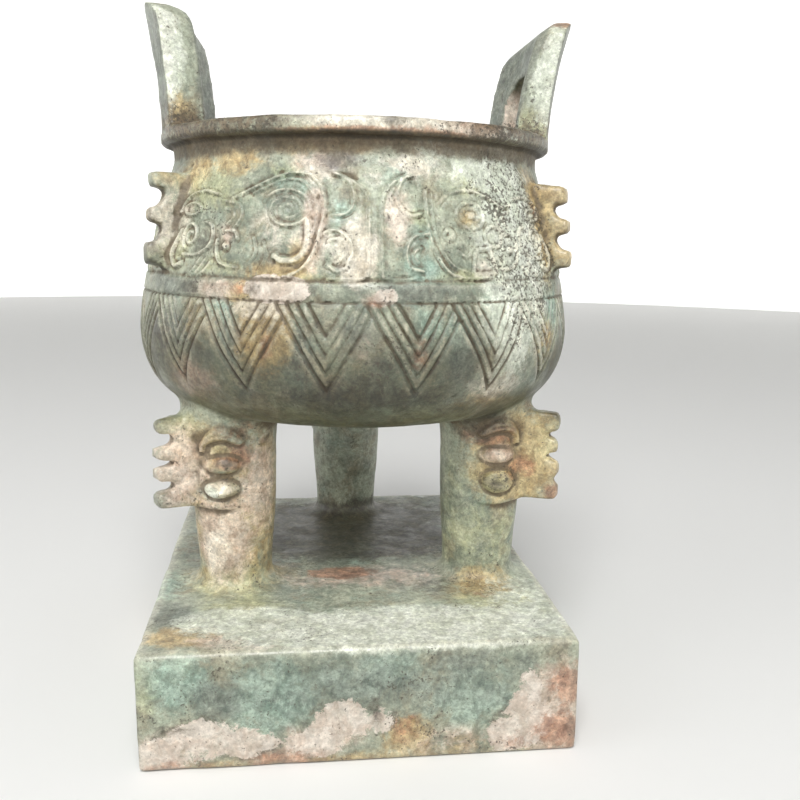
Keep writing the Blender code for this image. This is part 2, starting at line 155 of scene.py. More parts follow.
under_steps = BELLY_HEIGHT * (1 - np.cos(np.linspace(0, math.pi / 2, UNDER_RINGS)))
shoulder_steps = np.linspace(BELLY_HEIGHT, NECK_HEIGHT, SHOULDER_RINGS)[1:]
inside_steps = FLOOR + (BELLY_HEIGHT - FLOOR) * (1 - np.cos(np.linspace(0, math.pi / 2, INSIDE_RINGS)))
lip = RIM_HEIGHT - RIM_THICKNESS
bowl_profile = [(float(outer_radius(h)), h) for h in (*under_steps, *shoulder_steps)]
bowl_profile += [
    (NECK_RADIUS, lip - RIM_SOFT / 2),
    (NECK_RADIUS + RIM_SOFT / 2, lip),
    (RIM_RADIUS - RIM_SOFT, lip + RIM_SOFT / 2),
    (RIM_RADIUS, lip + RIM_SOFT),
    (RIM_RADIUS, RIM_HEIGHT - RIM_SOFT),
    (RIM_RADIUS - RIM_SOFT, RIM_HEIGHT),
    (NECK_RADIUS - WALL + RIM_SOFT, RIM_HEIGHT),
    (NECK_RADIUS - WALL, RIM_HEIGHT - RIM_SOFT),
]
bowl_profile += [(float(inner_radius(h)), h) for h in (*shoulder_steps[::-1], *inside_steps[::-1])]
forms.append(turned("bowl_form", AXIS, [(radius, UNDERSIDE + height) for radius, height in bowl_profile]))

# The ears: two upright loop handles on the rim, left and right, cut with the rim's curve and
# leaning out. The left one is thicker and straighter than the right.
EAR_WIDTH = 51.5
EAR_HEIGHT = 37.2
EAR_OPENING_WIDTH = 27.0
EAR_OPENING_HEIGHT = 21.5
EAR_SEAT = 1.5
# How much of an ear's lean is straight and how much curves out, and the shares of its thickness
# that its outer edge is flat for, above and at its foot.
EAR_STRAIGHT, EAR_CURVED = 0.23, 0.77
EAR_FLAT, EAR_FOOT_FLAT = 0.62, 0.9
AT_FOOT = 0.02
EAR_OUTLINE = ((1, 0), (1, 0.4), (1, 0.74), (0.94, 0.84), (0.76, 0.91), (0.5, 0.96), (0.25, 0.99), (0, 1))
EAR_OPENING = ((1, 0), (1, 0.35), (1, 0.6), (0.93, 0.78), (0.74, 0.91), (0.48, 0.98), (0.24, 1), (0, 1))
# Each ear as the side it stands on, how far its top leans out, its thickness at foot and top, and
# how much of that thickness its inner upper edge is rounded by.
EARS = {"left": (-1, 3.8, 11.4, 10.4, 0.12), "right": (1, 6.2, 10.2, 8.6, 0.35)}


def bend(*through, steps=6):
    """A smooth line through a few points."""
    ends = np.array([through[0], *through, through[-1]], float)
    points = []
    for p, q, r, s in zip(ends, ends[1:], ends[2:], ends[3:]):
        for t in np.arange(steps) / steps:
            points.append(q + (r - p) * t / 2 + (2 * p - 5 * q + 4 * r - s) * t**2 / 2
                          + (3 * q - p - 3 * r + s) * t**3 / 2)
    return [*points, ends[-1]]


def lofted(name, rings):
    """A form skinned over rings of equally many points and capped at both ends."""
    size = len(rings[0])
    corners = [tuple(point) for ring in rings for point in ring]
    faces = [list(range(size)), [len(corners) - size + i for i in range(size)]]
    for start in range(0, len(corners) - size, size):
        for i in range(size):
            j = (i + 1) % size
            faces.append([start + i, start + j, start + size + j, start + size + i])
    mesh = bpy.data.meshes.new(name)
    mesh.from_pydata(corners, [], faces)
    form = bpy.data.objects.new(name, mesh)
    bpy.context.scene.collection.objects.link(form)
    bpy.ops.object.select_all(action="DESELECT")
    form.select_set(True)
    bpy.context.view_layer.objects.active = form
    edit_all()
    bpy.ops.mesh.normals_make_consistent(inside=False)
    bpy.ops.object.mode_set(mode="OBJECT")
    return form


def ear_rings(side, lean, foot, top, rounding):
    """Sections of an ear, up its front post, over the arch and down the back one."""
    stations = list(zip(bend(*EAR_OUTLINE, steps=4), bend(*EAR_OPENING, steps=4)))
    stations += [((-a, b), (-c, d)) for (a, b), (c, d) in reversed(stations[:-1])]
    rings = []
    for (out_x, out_z), (in_x, in_z) in stations:
        x, z = out_x * EAR_WIDTH / 2, out_z * EAR_HEIGHT
        hole_x, hole_z = in_x * EAR_OPENING_WIDTH / 2, in_z * EAR_OPENING_HEIGHT
        soft = top * rounding * out_z
        low_x, low_z = x * (1 - soft / EAR_WIDTH), z - soft * out_z
        corners = (
            (x, z, 0.0),
            (x, z, EAR_FLAT if out_z > AT_FOOT else EAR_FOOT_FLAT),
            (low_x, low_z, 1.0),
            (hole_x, hole_z, 1.0),
            (hole_x, hole_z, 0.0),
        )
        ring = []
        for along, height, depth in corners:
            up = height / EAR_HEIGHT
            thick = foot + (top - foot) * up
            out = lean * (EAR_STRAIGHT * up + EAR_CURVED * up * up)
            radius = RIM_RADIUS + out - thick * depth
            seat = UNDERSIDE + RIM_HEIGHT - (EAR_SEAT if height < AT_FOOT else 0)
            place = outwards(math.degrees(along / RIM_RADIUS)) * radius
            ring.append(AXIS + Vector((place.x * side, place.y, seat + height)))
        rings.append(ring)
    return rings


for side_name, ear in EARS.items():
    forms.append(lofted(f"{side_name}_ear_form", ear_rings(*ear)))

# The flanges: an upright toothed ridge over each leg, three teeth on the bowl and four down the
# leg's mask, thick at the root and sawn across between the teeth. No two have the same teeth,
# given here from the lowest up, each by its two heights.
BOWL_TEETH = {
    90: ((131.5, 137.6), (142.0, 148.0), (152.4, 158.5)),
    210: ((131.7, 138.9), (143.8, 148.7), (153.6, 158.4)),
    330: ((132.6, 138.4), (142.6, 147.6), (151.2, 157.6)),
}
MASK_TEETH = {
    90: ((60.2, 65.5), (68.2, 73.4), (76.2, 81.4), (84.2, 89.4)),
    210: ((59.9, 65.4), (68.2, 72.9), (74.6, 79.2), (82.6, 87.9)),
    330: ((60.4, 66.1), (67.9, 73.7), (75.6, 80.3), (82.5, 88.6)),
}
BOWL_FLANGE_PROUD = 5.7
BOWL_FLANGE_LEAN = 2.2
BOWL_TOOTH_DEPTH = 4.2
MASK_FLANGE_PROUD = 12.8
MASK_TOOTH_DEPTH = {90: 5.0, 210: 5.6, 330: 4.0}
TIP_THICKNESS = 5.0
BOWL_ROOT_THICKNESS = 6.2
MASK_ROOT_THICKNESS = 9.0
TOOTH_SOFT, TOOTH_SLANT = 0.9, 0.2
TAPER = 1.6


def toothed(teeth, tips, depth, roots):
    """Outline of a flange as (radius, height) points: its root, then up its teeth."""
    low, high = teeth[0][0], teeth[-1][1]
    outline = list(zip(roots, (high, (low + high) / 2, low)))
    for number, ((start, end), tip) in enumerate(zip(teeth, tips)):
        floor = tip - depth
        if number:
            quarter = (start - teeth[number - 1][1]) / 4
            outline += [(floor, start - quarter), (floor + TOOTH_SOFT, start)]
        outline += [(tip - TOOTH_SOFT, start + TOOTH_SOFT * TOOTH_SLANT), (tip, start + TOOTH_SOFT)]
        outline += [(tip, end - TOOTH_SOFT), (tip - TOOTH_SOFT, end - TOOTH_SOFT * TOOTH_SLANT)]
        if number < len(teeth) - 1:
            quarter = (teeth[number + 1][0] - end) / 4
            outline += [(floor + TOOTH_SOFT, end), (floor, end + quarter)]
    return outline


def flange(name, azimuth, outline, root_thickness):
    """A flange through the bowl's axis, tapering from its root to its tips."""
    out = outwards(azimuth)
    across = Vector((0, 0, 1)).cross(out)
    inner, tips = min(r for r, _ in outline), max(r for r, _ in outline)
    rings = []
    for side in (-0.5, 0.5):
        ring = []
        for radius, height in outline:
            share = (radius - inner) / (tips - inner)
            thick = root_thickness + (TIP_THICKNESS - root_thickness) * min(TAPER * share, 1)
            ring.append(AXIS + out * radius + across * side * thick + Vector((0, 0, height)))
        rings.append(ring)
    return lofted(name, rings)


for azimuth in LEG_AZIMUTHS:
    teeth = BOWL_TEETH[azimuth]
    levels = np.array([teeth[-1][1], (teeth[0][0] + teeth[-1][1]) / 2, teeth[0][0]]) - UNDERSIDE
    roots = outer_radius(levels) - WALL / 2
    tip = float(outer_radius(levels[-1])) + BOWL_FLANGE_PROUD
    tips = (tip, tip - BOWL_FLANGE_LEAN / 2, tip - BOWL_FLANGE_LEAN)
    outline = toothed(teeth, tips, BOWL_TOOTH_DEPTH, roots)
    forms.append(flange(f"bowl_flange_form_{azimuth}", azimuth, outline, BOWL_ROOT_THICKNESS))
    tips = [LEG_CIRCLE + LEG_RADIUS + MASK_FLANGE_PROUD] * len(MASK_TEETH[azimuth])
    roots = [LEG_CIRCLE + LEG_RADIUS / 2] * 3
    outline = toothed(MASK_TEETH[azimuth], tips, MASK_TOOTH_DEPTH[azimuth], roots)
    forms.append(flange(f"mask_flange_form_{azimuth}", azimuth, outline, MASK_ROOT_THICKNESS))

# One stone: all the forms above are a single body, so they are fused, rubbed down and eased
# into each other where a leg or a flange grows out of its neighbour.
VOXEL = 0.9
# The block and the rim stay crisper than the rest, and the legs' two joints are eased most. Each
# joint is given as its height, and as where its easing ends and is whole up, down and outwards.
RIM_START = 166
RIM_CRISP = 0.7
SOFT_ROUNDS, SOFT_SHARE = 2, 0.5
JOINT_ROUNDS, JOINT_SHARE = 24, 0.6
TOP_JOINT, TOP_REACH, TOP_OUT = 88, (7, 3), (20, 16)
FOOT_JOINT, FOOT_REACH, FOOT_OUT = 34, (3, 1), (16, 14)

bpy.ops.object.select_all(action="DESELECT")
for form in forms:
    form.select_set(True)
bpy.context.view_layer.objects.active = block
bpy.ops.object.join()
stone = bpy.context.object
stone.name = "carved_stone"
fuse = stone.modifiers.new("fuse", "REMESH")
fuse.mode = "VOXEL"
fuse.voxel_size = VOXEL
bpy.ops.object.modifier_apply(modifier=fuse.name)


def read(mesh, kind="co"):
    """The mesh's points or normals, in millimetres while the stone is being carved."""
    values = np.empty(len(mesh.vertices) * 3, np.float32)
    mesh.vertices.foreach_get(kind, values)
    return values.reshape(-1, 3).astype(float)


def write(mesh, points):
    mesh.vertices.foreach_set("co", points.astype(np.float32).ravel())
    mesh.update()


def edges_of(mesh):
    ends = np.empty(len(mesh.edges) * 2, np.int32)
    mesh.edges.foreach_get("vertices", ends)
    return ends.reshape(-1, 2)


def spread(values, edges, rounds, share=1.0):
    """Values at the points, drawn towards the mean of their neighbours round by round."""
    values = values.reshape(len(values), -1)
    near, far = edges[:, 0], edges[:, 1]
    count = np.bincount(edges.ravel(), minlength=len(values))[:, None]
    for _ in range(rounds):
        total = [
            np.bincount(near, column[far], len(values)) + np.bincount(far, column[near], len(values))
            for column in values.T
        ]
        values = values + share * (np.stack(total, 1) / count - values)
    return values


def ramp(low, high, values):
    """0 below low, 1 above high and an even ease between. low may be the larger."""
    share = np.clip((values - low) / (high - low), 0, 1)
    return share * share * (3 - 2 * share)


def around_leg(points, azimuth):
    """Turn from the leg's outward side in degrees, and radius, about a leg's own axis."""
    centre = AXIS + outwards(azimuth) * LEG_CIRCLE
    x, y = points[:, 0] - centre.x, points[:, 1] - centre.y
    turn = np.degrees(np.arctan2(y, x)) - azimuth
    return (turn + 180) % 360 - 180, np.hypot(x, y)


def nearest_leg(points):
    """Turn, radius and azimuth of whichever leg is nearest."""
    turns, radii = zip(*(around_leg(points, azimuth) for azimuth in LEG_AZIMUTHS))
    near = np.argmin(radii, axis=0)
    pick = np.arange(len(points))
    return np.array(turns)[near, pick], np.array(radii)[near, pick], np.array(LEG_AZIMUTHS)[near]


points = read(stone.data)
edges = edges_of(stone.data)
crisp = ramp(BLOCK_HEIGHT + 2, BLOCK_HEIGHT, points[:, 2])
crisp = np.maximum(crisp, RIM_CRISP * ramp(RIM_START, RIM_START + 2, points[:, 2]))
points = spread(points, edges, SOFT_ROUNDS, SOFT_SHARE * (1 - crisp)[:, None])
_, leg_radii, _ = nearest_leg(points)
top_joint = ramp(*TOP_REACH, np.abs(points[:, 2] - TOP_JOINT)) * ramp(*TOP_OUT, leg_radii)
foot_joint = ramp(*FOOT_REACH, np.abs(points[:, 2] - FOOT_JOINT)) * ramp(*FOOT_OUT, leg_radii)
points = spread(points, edges, JOINT_ROUNDS, JOINT_SHARE * np.maximum(top_joint, foot_joint)[:, None])
points[:, 2] = np.maximum(points[:, 2], 0)
write(stone.data, points)

# The register of vees: eighteen nested vees round the lower belly, each of three rounded ridges
# between scored lines, cut freehand with the left arms last, so that they cross the right ones.
BAND_LOW = 37.2
BAND_HIGH = 42.8
MASK_BAND_TOP = 70.4
BAND = MASK_BAND_TOP - BAND_HIGH
UNROLL_RADIUS = float(outer_radius(BAND_HIGH))
HALF_MASK = UNROLL_RADIUS * math.radians(60)
VEES_IN_SECTOR = 6
VEE_TIP = 13.4
VEE_STEP = 4.9
VEE_RIDGES = 3
VEE_WIDENING = 1.14
VEE_REACH = 1.6
SCORE_WIDTH = 1.5
SCORE_DEPTH = 0.8
SCORE_ROUND = 1.3
RIDGE_RISE = 0.55
FREEHAND = 0.35
FREEHAND_CELL = 14.0
VEE_SLIP, VEE_LEAN = 0.7, 0.05
# The lowest line is wider than the others, and a right arm is cut shallower than a left one.
LOWEST_LINE = 1.25
RIGHT_ARM = 0.75
# Where the carving fades out and where it is whole: on the wall by how far a point stands off it
# or in it and by its height over the underside, on a leg by its height, its turn and its radius.
OFF_WALL, IN_WALL, WALL_LOW, WALL_TOP = (2.4, 1.2), (-2.5, -1.5), (6, 9), (76, 74)
MASK_LOW, MASK_TOP, MASK_TURN, MASK_OUT = (56, 57), (98, 94), (100, 92), (21, 14.5)
# How unevenly deep the vees are cut: a share of their depth, its breadth in mm and its seed.
UNEVEN = ((0.25, 9.0, 13), (0.2, 1.8, 14))
# For random values: a seed's step, the multipliers that mix them up, and the largest one.
PRIMES = (73856093, 19349663, 83492791)
MIXER, SEED_STEP = 1274126177, 7919
LARGEST, HALF_LARGEST = 0x7FFFFFFF, 0x3FFFFFFF


def cell_key(cells, seed):
    """A whole number for each cell of a grid."""
    return (cells * PRIMES[: cells.shape[1]]).sum(1) + seed * SEED_STEP


def scrambled(key):
    """Whole numbers mixed up into others from 0 to LARGEST."""
    return (key ^ (key >> 13)) * MIXER & LARGEST


def lattice(points, cell, seed):
    """Smooth random values from -1 to 1, changing over a cell in millimetres."""
    place = points / cell + seed * 17.3
    corner = np.floor(place).astype(np.int64)
    share = place - corner
    share = share * share * (3 - 2 * share)
    total = np.zeros(len(points))
    for step in product((0, 1), repeat=points.shape[1]):
        weight = np.prod(np.where(step, share, 1 - share), axis=1)
        total += (scrambled(cell_key(corner + step, seed)) / HALF_LARGEST - 1) * weight
    return total


def select_faces(mesh, chosen):
    """Selects the faces whose points are all chosen, and nothing else."""
    corners = np.empty(len(mesh.loops), np.int32)
    mesh.loops.foreach_get("vertex_index", corners)
    starts = np.empty(len(mesh.polygons), np.int32)
    mesh.polygons.foreach_get("loop_start", starts)
    inside = np.minimum.reduceat(chosen[corners].astype(np.int8), starts).astype(bool)
    ends = edges_of(mesh)
    mesh.vertices.foreach_set("select", chosen)
    mesh.edges.foreach_set("select", chosen[ends].all(1))
    mesh.polygons.foreach_set("select", inside)


def around_axis(points):
    """Azimuth in degrees, radius and height over the bowl's underside."""
    x, y = points[:, 0] - AXIS.x, points[:, 1] - AXIS.y
    return np.degrees(np.arctan2(y, x)), np.hypot(x, y), points[:, 2] - UNDERSIDE


def on_wall(points):
    """1 on the bowl's carved wall, fading to 0 where a flange or a leg grows out of it."""
    _, radius, height = around_axis(points)
    proud = radius - outer_radius(height)
    near = ramp(*OFF_WALL, proud) * ramp(*IN_WALL, proud)
    return near * ramp(*WALL_LOW, height) * ramp(*WALL_TOP, height)


def on_mask(points):
    """1 on a leg's outer side above the mask's foot, fading to 0 on the flange."""
    turn, radius, _ = nearest_leg(points)
    height = points[:, 2]
    level = ramp(*MASK_LOW, height) * ramp(*MASK_TOP, height)
    return level * ramp(*MASK_TURN, np.abs(turn)) * ramp(*MASK_OUT, radius)


points = read(stone.data)
fine = (on_wall(points) > 0) | (on_mask(points) > 0)
select_faces(stone.data, fine)
bpy.ops.object.mode_set(mode="EDIT")
bpy.ops.mesh.select_mode(type="FACE")
bpy.ops.mesh.subdivide(number_cuts=1, smoothness=0)
bpy.ops.object.mode_set(mode="OBJECT")

points = read(stone.data)
normals = read(stone.data, "normal")
azimuths, radii, heights = around_axis(points)
wall = on_wall(points)
carve = np.flatnonzero(wall > 0)
sector_x = ((azimuths[carve] + 150) % 120 - 60) / 180 * math.pi * UNROLL_RADIUS
sector_y = heights[carve]
sector = np.round((azimuths[carve] + 90) / 120).astype(int) % 3
shaky = np.stack([azimuths[carve] / 180 * math.pi * UNROLL_RADIUS, sector_y], 1)
x = sector_x + FREEHAND * lattice(shaky, FREEHAND_CELL, 1)
y = sector_y + FREEHAND * lattice(shaky, FREEHAND_CELL, 2)


def scored(distance, width, depth):
    """Depth of a scored line's round bottom at a distance from its middle."""
    return -depth * np.clip(1 - (2 * distance / width) ** 2, 0, 1) ** SCORE_ROUND


vee_half = HALF_MASK / VEES_IN_SECTOR
whole_x = x + sector * 2 * HALF_MASK
relief = np.zeros(len(carve))
hand = np.random.default_rng(7)
vee_count = VEES_IN_SECTOR * len(LEG_AZIMUTHS)
slip = hand.uniform(-VEE_SLIP, VEE_SLIP, (vee_count, 3))
for number in range(-1, vee_count + 1):
    wrapped = number % vee_count
    middle = (2 * number + 1) * vee_half - HALF_MASK + slip[wrapped, 0]
    tip = VEE_TIP + slip[wrapped, 1]
    slope = (VEE_WIDENING + VEE_LEAN * slip[wrapped, 2]) * vee_half / (BAND_LOW - VEE_TIP)
    across = whole_x - middle
    rise = y - tip - np.abs(across) / slope
    square = slope / math.hypot(1, slope)
    here = (np.abs(across) < VEE_REACH * vee_half) & (rise * square > -SCORE_WIDTH) & (y < BAND_LOW)
    depth = SCORE_DEPTH * np.where(across > 0, RIGHT_ARM, 1.0)
    cut = np.zeros(len(carve))
    for line in range(VEE_RIDGES + 1):
        off = np.abs(rise - line * VEE_STEP) * square
        cut = np.minimum(cut, scored(off, SCORE_WIDTH * (LOWEST_LINE if line == 0 else 1.0), depth))
    share = np.clip(rise / VEE_STEP, 0, VEE_RIDGES) % 1
    crest = RIDGE_RISE * np.sin(np.pi * share) * (rise < VEE_RIDGES * VEE_STEP)
    own = here & ((rise > 0) | (cut < relief))
    relief = np.where(own, cut + crest * (rise > 0), relief)

# The plain band between the two registers: a line scored under it, and above it the step down
# to the ground of the masks.
LINE_WIDTH = 0.95
LINE_DEPTH = 0.6
STEP_WIDTH = 2.0
STEP_DEPTH = 0.4

relief *= sum((share * lattice(points[carve], cell, seed) for share, cell, seed in UNEVEN), 1.0)
relief = np.where(y > BAND_LOW, 0.0, relief)
relief = np.minimum(relief, scored(np.abs(sector_y - BAND_LOW), LINE_WIDTH, LINE_DEPTH))
relief = np.minimum(relief, scored(np.abs(y - BAND_HIGH), STEP_WIDTH, STEP_DEPTH))

# The three masks on the upper wall, each from flange to flange: a split beast's face about a
# nose ridge, with horns, spirals, curls and tusks. A stroke is one raised line with a groove
# cut down both its sides: half its width and its rise in mm, then its course in shares of the
# band's height, x away from the nose and y up. The two halves were drawn by hand and differ.
GROOVE_WIDTH, GROOVE_DEPTH, GROOVE_ROUND = 0.75, 0.4, 1.2
# How flat a stroke's top is and how far its side fades into a groove, the height of the ground
# between strokes, and the share of its width here that a stroke is cut at.
TOP_FLAT, SIDE_SOFT = 4, 0.2
GROUND = -0.15
STROKE_SIZE = 0.72
# The nose ridge's half width at its foot and top and its two ends, in shares of the band's height.
NOSE_FOOT, NOSE_TOP = 0.48, 0.42
NOSE_LOW, NOSE_HIGH = 0.04, 0.94
NOSE_RISE = 0.35


def arc(x, y, wide, high, start, end, end_size=1.0, steps=16):
    """Part of an oval or a spiral, between two angles in degrees, its size changing to end_size."""
    course = []
    for share in np.linspace(0, 1, steps):
        turn = math.radians(start + (end - start) * share)
        size = 1 + (end_size - 1) * share
        course.append((x + wide * size * math.cos(turn), y + high * size * math.sin(turn)))
    return course


SPIRAL = arc(0.897, 0.652, 0.29, 0.2, 20, 890, 0.14, 48)
LEFT_HALF = (
    (0.5, 0.4, bend((0.42, 1.0), (0.3, 0.965), (0.2, 0.92), (0.1, 0.84), (0.06, 0.76), (0.05, 0.62),
                    (0.05, 0.1), (0.08, 0.04), (0.14, 0.02), (0.45, 0.02))),
    (0.55, 0.45, bend((0.434, 1.0), (0.28, 0.948), (0.205, 0.826), (0.205, 0.7), (0.28, 0.618),
                      (0.4, 0.605))),
    (0.55, 0.45, bend((0.48, 0.443), (0.358, 0.465), (0.235, 0.382), (0.205, 0.26), (0.25, 0.138),
                      (0.358, 0.09), (0.45, 0.153))),
    (0.4, 0.35, bend((0.434, 0.367), (0.34, 0.382), (0.297, 0.306), (0.297, 0.214), (0.358, 0.168))),
    (0.5, 0.45, bend((1.567, 0.761), (1.386, 0.824), (1.024, 0.96), (0.824, 0.993), (0.643, 0.96),
                     (0.525, 0.833), (0.489, 0.67), (0.525, 0.489), (0.571, 0.29), (0.679, 0.127),
                     (0.824, 0.036))),
    (0.4, 0.35, bend((1.3, 0.8), (1.0, 0.915), (0.82, 0.93), (0.697, 0.87), (0.6, 0.75), (0.575, 0.6),
                     (0.6, 0.42))),
    (0.45, 0.38, SPIRAL),
    (1.4, 0.42, bend((0.66, 0.54), (0.643, 0.4), (0.67, 0.28), (0.76, 0.2), (0.9, 0.19), (0.98, 0.226))),
    (0.4, 0.35, bend((0.7, 0.1), (0.915, 0.036), (1.1, 0.05))),
    (0.5, 0.4, arc(2.1, 0.4, 0.145, 0.145, -60, 500, 0.2, 32)),
    (0.9, 0.5, bend((2.28, 0.45), (2.38, 0.29), (2.4, 0.18), (2.31, 0.09), (2.18, 0.127))),
    (0.7, 0.5, [(2.246, 0.163), (2.25, 0.17)]),
    (0.5, 0.4, bend((2.18, 0.217), (1.966, 0.217), (1.8, 0.29), (1.757, 0.4), (1.8, 0.507), (1.89, 0.534))),
    (0.5, 0.4, bend((1.6, 0.444), (1.476, 0.435), (1.437, 0.362))),
    (1.3, 0.5, [(1.56, 0.29), (1.575, 0.3)]),
    (0.5, 0.4, bend((1.685, 0.362), (1.676, 0.235), (1.594, 0.127), (1.4, 0.1))),
    (0.45, 0.4, bend((1.658, 0.67), (1.549, 0.643), (1.52, 0.58), (1.585, 0.507))),
    (0.45, 0.4, bend((1.7, 0.74), (1.47, 0.7), (1.42, 0.58), (1.5, 0.46))),
    (0.45, 0.35, bend((2.09, 0.0), (1.97, 0.06), (1.875, 0.18))),
    (0.45, 0.35, bend((2.0, 0.0), (1.9, 0.05), (1.8, 0.17))),
    (0.45, 0.35, bend((1.91, 0.0), (1.81, 0.05), (1.72, 0.15))),
    (0.45, 0.4, arc(2.165, 0.66, 0.16, 0.06, 0, 360)),
    (0.45, 0.35, bend((2.4, 0.62), (2.3, 0.78), (2.0, 0.84), (1.75, 0.8))),
    (0.4, 0.3, bend((1.25, 0.4), (1.2, 0.25), (1.3, 0.12))),
    (0.4, 0.3, bend((1.12, 0.35), (1.08, 0.22), (1.15, 0.08))),
)
RIGHT_HALF = (
    (0.5, 0.4, bend((0.407, 1.0), (0.223, 0.93), (0.116, 0.81), (0.08, 0.64), (0.08, 0.09), (0.13, 0.02),
                    (0.48, 0.02))),
    (0.55, 0.45, bend((0.45, 0.99), (0.315, 0.948), (0.254, 0.826), (0.27, 0.7), (0.376, 0.61),
                      (0.51, 0.636))),
    (0.55, 0.4, bend((0.55, 0.443), (0.407, 0.413), (0.33, 0.32), (0.315, 0.214), (0.36, 0.12),
                     (0.483, 0.09))),
    (0.4, 0.35, bend((0.483, 0.306), (0.407, 0.275), (0.39, 0.214), (0.437, 0.168))),
    (0.45, 0.4, bend((0.574, 0.85), (0.57, 0.49), (0.63, 0.27), (0.755, 0.09), (0.955, 0.036),
                     (1.245, 0.036))),
    (0.4, 0.35, bend((0.635, 0.83), (0.64, 0.5), (0.7, 0.3), (0.81, 0.15), (0.97, 0.1))),
    (0.5, 0.45, arc(1.083, 0.626, 0.18, 0.125, 0, 360)),
    (1.3, 0.5, [(1.06, 0.626), (1.105, 0.626)]),
    (0.45, 0.35, bend((0.7, 0.72), (0.84, 0.83), (1.08, 0.87), (1.35, 0.8), (1.55, 0.7))),
    (0.45, 0.35, arc(0.79, 0.435, 0.07, 0.07, -40, 400, 0.3, 24)),
    (0.45, 0.35, bend((0.88, 0.29), (0.99, 0.235), (1.06, 0.31))),
    (0.5, 0.4, [(1.045, 0.07), (1.1, 0.3), (1.28, 0.31), (1.335, 0.07), (1.045, 0.07)]),
    (0.5, 0.4, arc(1.353, 0.42, 0.11, 0.1, 30, 300)),
)
# Past this far from the nose both halves carry the same cluster of curls beside the flange.
CLUSTER = 1.4
STROKES = {
    -1: LEFT_HALF,
    1: RIGHT_HALF + tuple(stroke for stroke in LEFT_HALF if min(x for x, _ in stroke[2]) >= CLUSTER),
}


def distance_to(course, x, y, reach):
    """Which points lie within reach of a course, and how far from it they are."""
    course = np.array(course)
    low, high = course.min(0) - reach, course.max(0) + reach
    near = np.flatnonzero((x > low[0]) & (x < high[0]) & (y > low[1]) & (y < high[1]))
    px, py = x[near], y[near]
    distance = np.full(len(near), np.inf)
    for (ax, ay), (bx, by) in zip(course, course[1:]):
        dx, dy = bx - ax, by - ay
        share = ((px - ax) * dx + (py - ay) * dy) / max(dx * dx + dy * dy, 1e-9)
        share = np.clip(share, 0, 1)
        distance = np.minimum(distance, np.hypot(px - ax - share * dx, py - ay - share * dy))
    inside = distance < reach
    return near[inside], distance[inside]


def stroked(x, y, strokes):
    """Relief of raised lines over a ground, each with a groove along both its sides."""
    raised = np.full(len(x), GROUND)
    cut = np.zeros(len(x))
    cover = np.zeros(len(x))
    for half_width, rise, course in strokes:
        half_width *= STROKE_SIZE
        near, distance = distance_to(np.array(course) * BAND, x, y, half_width + GROOVE_WIDTH)
        flat = 1 - np.clip(distance / half_width, 0, 1) ** TOP_FLAT
        groove = np.clip((distance - half_width) / GROOVE_WIDTH, 0, 1)
        cut[near] = np.minimum(cut[near], -GROOVE_DEPTH * np.sin(np.pi * groove) ** GROOVE_ROUND)
        raised[near] = np.maximum(raised[near], GROUND + (rise - GROUND) * flat)
        cover[near] = np.maximum(cover[near], ramp(half_width + SIDE_SOFT, half_width, distance))
    return raised + cut * (1 - cover)


for side, strokes in STROKES.items():
    half = (y > BAND_HIGH) & (side * x > 0)
    relief[half] += stroked(np.abs(x[half]), y[half] - BAND_HIGH, strokes)
nose = (y > BAND_HIGH + NOSE_LOW * BAND) & (y < BAND_HIGH + NOSE_HIGH * BAND)
nose &= np.abs(x) < NOSE_FOOT * BAND
relief[nose] += NOSE_RISE * ramp(NOSE_FOOT, NOSE_TOP, np.abs(x[nose]) / BAND)
top = BAND_HIGH + BAND
relief = np.where(sector_y > top, relief * ramp(top + 0.6, top, sector_y), relief)
points[carve] += normals[carve] * (relief * wall[carve])[:, None]
write(stone.data, points)

# The leg masks: each leg's outer side swells into a beast's face about its flange, with a
# crescent brow, a glossy oval eye and a cheek boss on either side, and a step at its foot.
MASK_FOOT = 59.5
SWELL = 1.5
SWELL_END = 84
BROW_LINE = bend((24, 78.6), (27, 81), (39, 83.4), (56, 83.6), (70, 81.4))
BROW_HALF = ((27, 32, 41, 56, 69), (0.5, 1.0, 1.6, 1.7, 0.9))
BROW_RISE, BROW_OUT, BROW_IN = 1.5, 1.2, 1.0
BROW_CUT, BROW_CUT_WIDTH = 0.55, 0.45
BROW_GROOVE, BROW_GROOVE_WIDTH = 0.4, 1.4
# The eye and the cheek, each as its turn, height, half width, half height and rise.
EYE = (49, 74.4, 5.0, 2.5, 1.9)
CHEEK = (47, 66.4, 4.8, 3.3, 2.1)
# How much higher or lower each leg's brow, eye and cheek sit, in mm.
FACE_LIFT = {90: 0.0, 210: -1.0, 330: 0.8}
CHEEK_ROUGH = 0.45
# A boss's shape: how flat its top is and how round its side, and the groove cut about it.
BOSS_FLAT, BOSS_ROUND = 2.6, 0.7
BOSS_GROOVE, BOSS_GROOVE_WIDTH = 0.25, 1.3
DEGREE = math.radians(1) * LEG_RADIUS


def boss(turn, height, middle_turn, middle, half_width, half_height, rise):
    """A domed oval with a fine groove cut round it."""
    off = np.hypot((turn - middle_turn) * DEGREE / half_width, (height - middle) / half_height)
    dome = rise * (1 - np.clip(off, 0, 1) ** BOSS_FLAT) ** BOSS_ROUND
    groove = np.clip((off - 1) * half_height / BOSS_GROOVE_WIDTH, 0, 1)
    return np.where(off < 1, dome, -BOSS_GROOVE * np.sin(np.pi * groove)), off


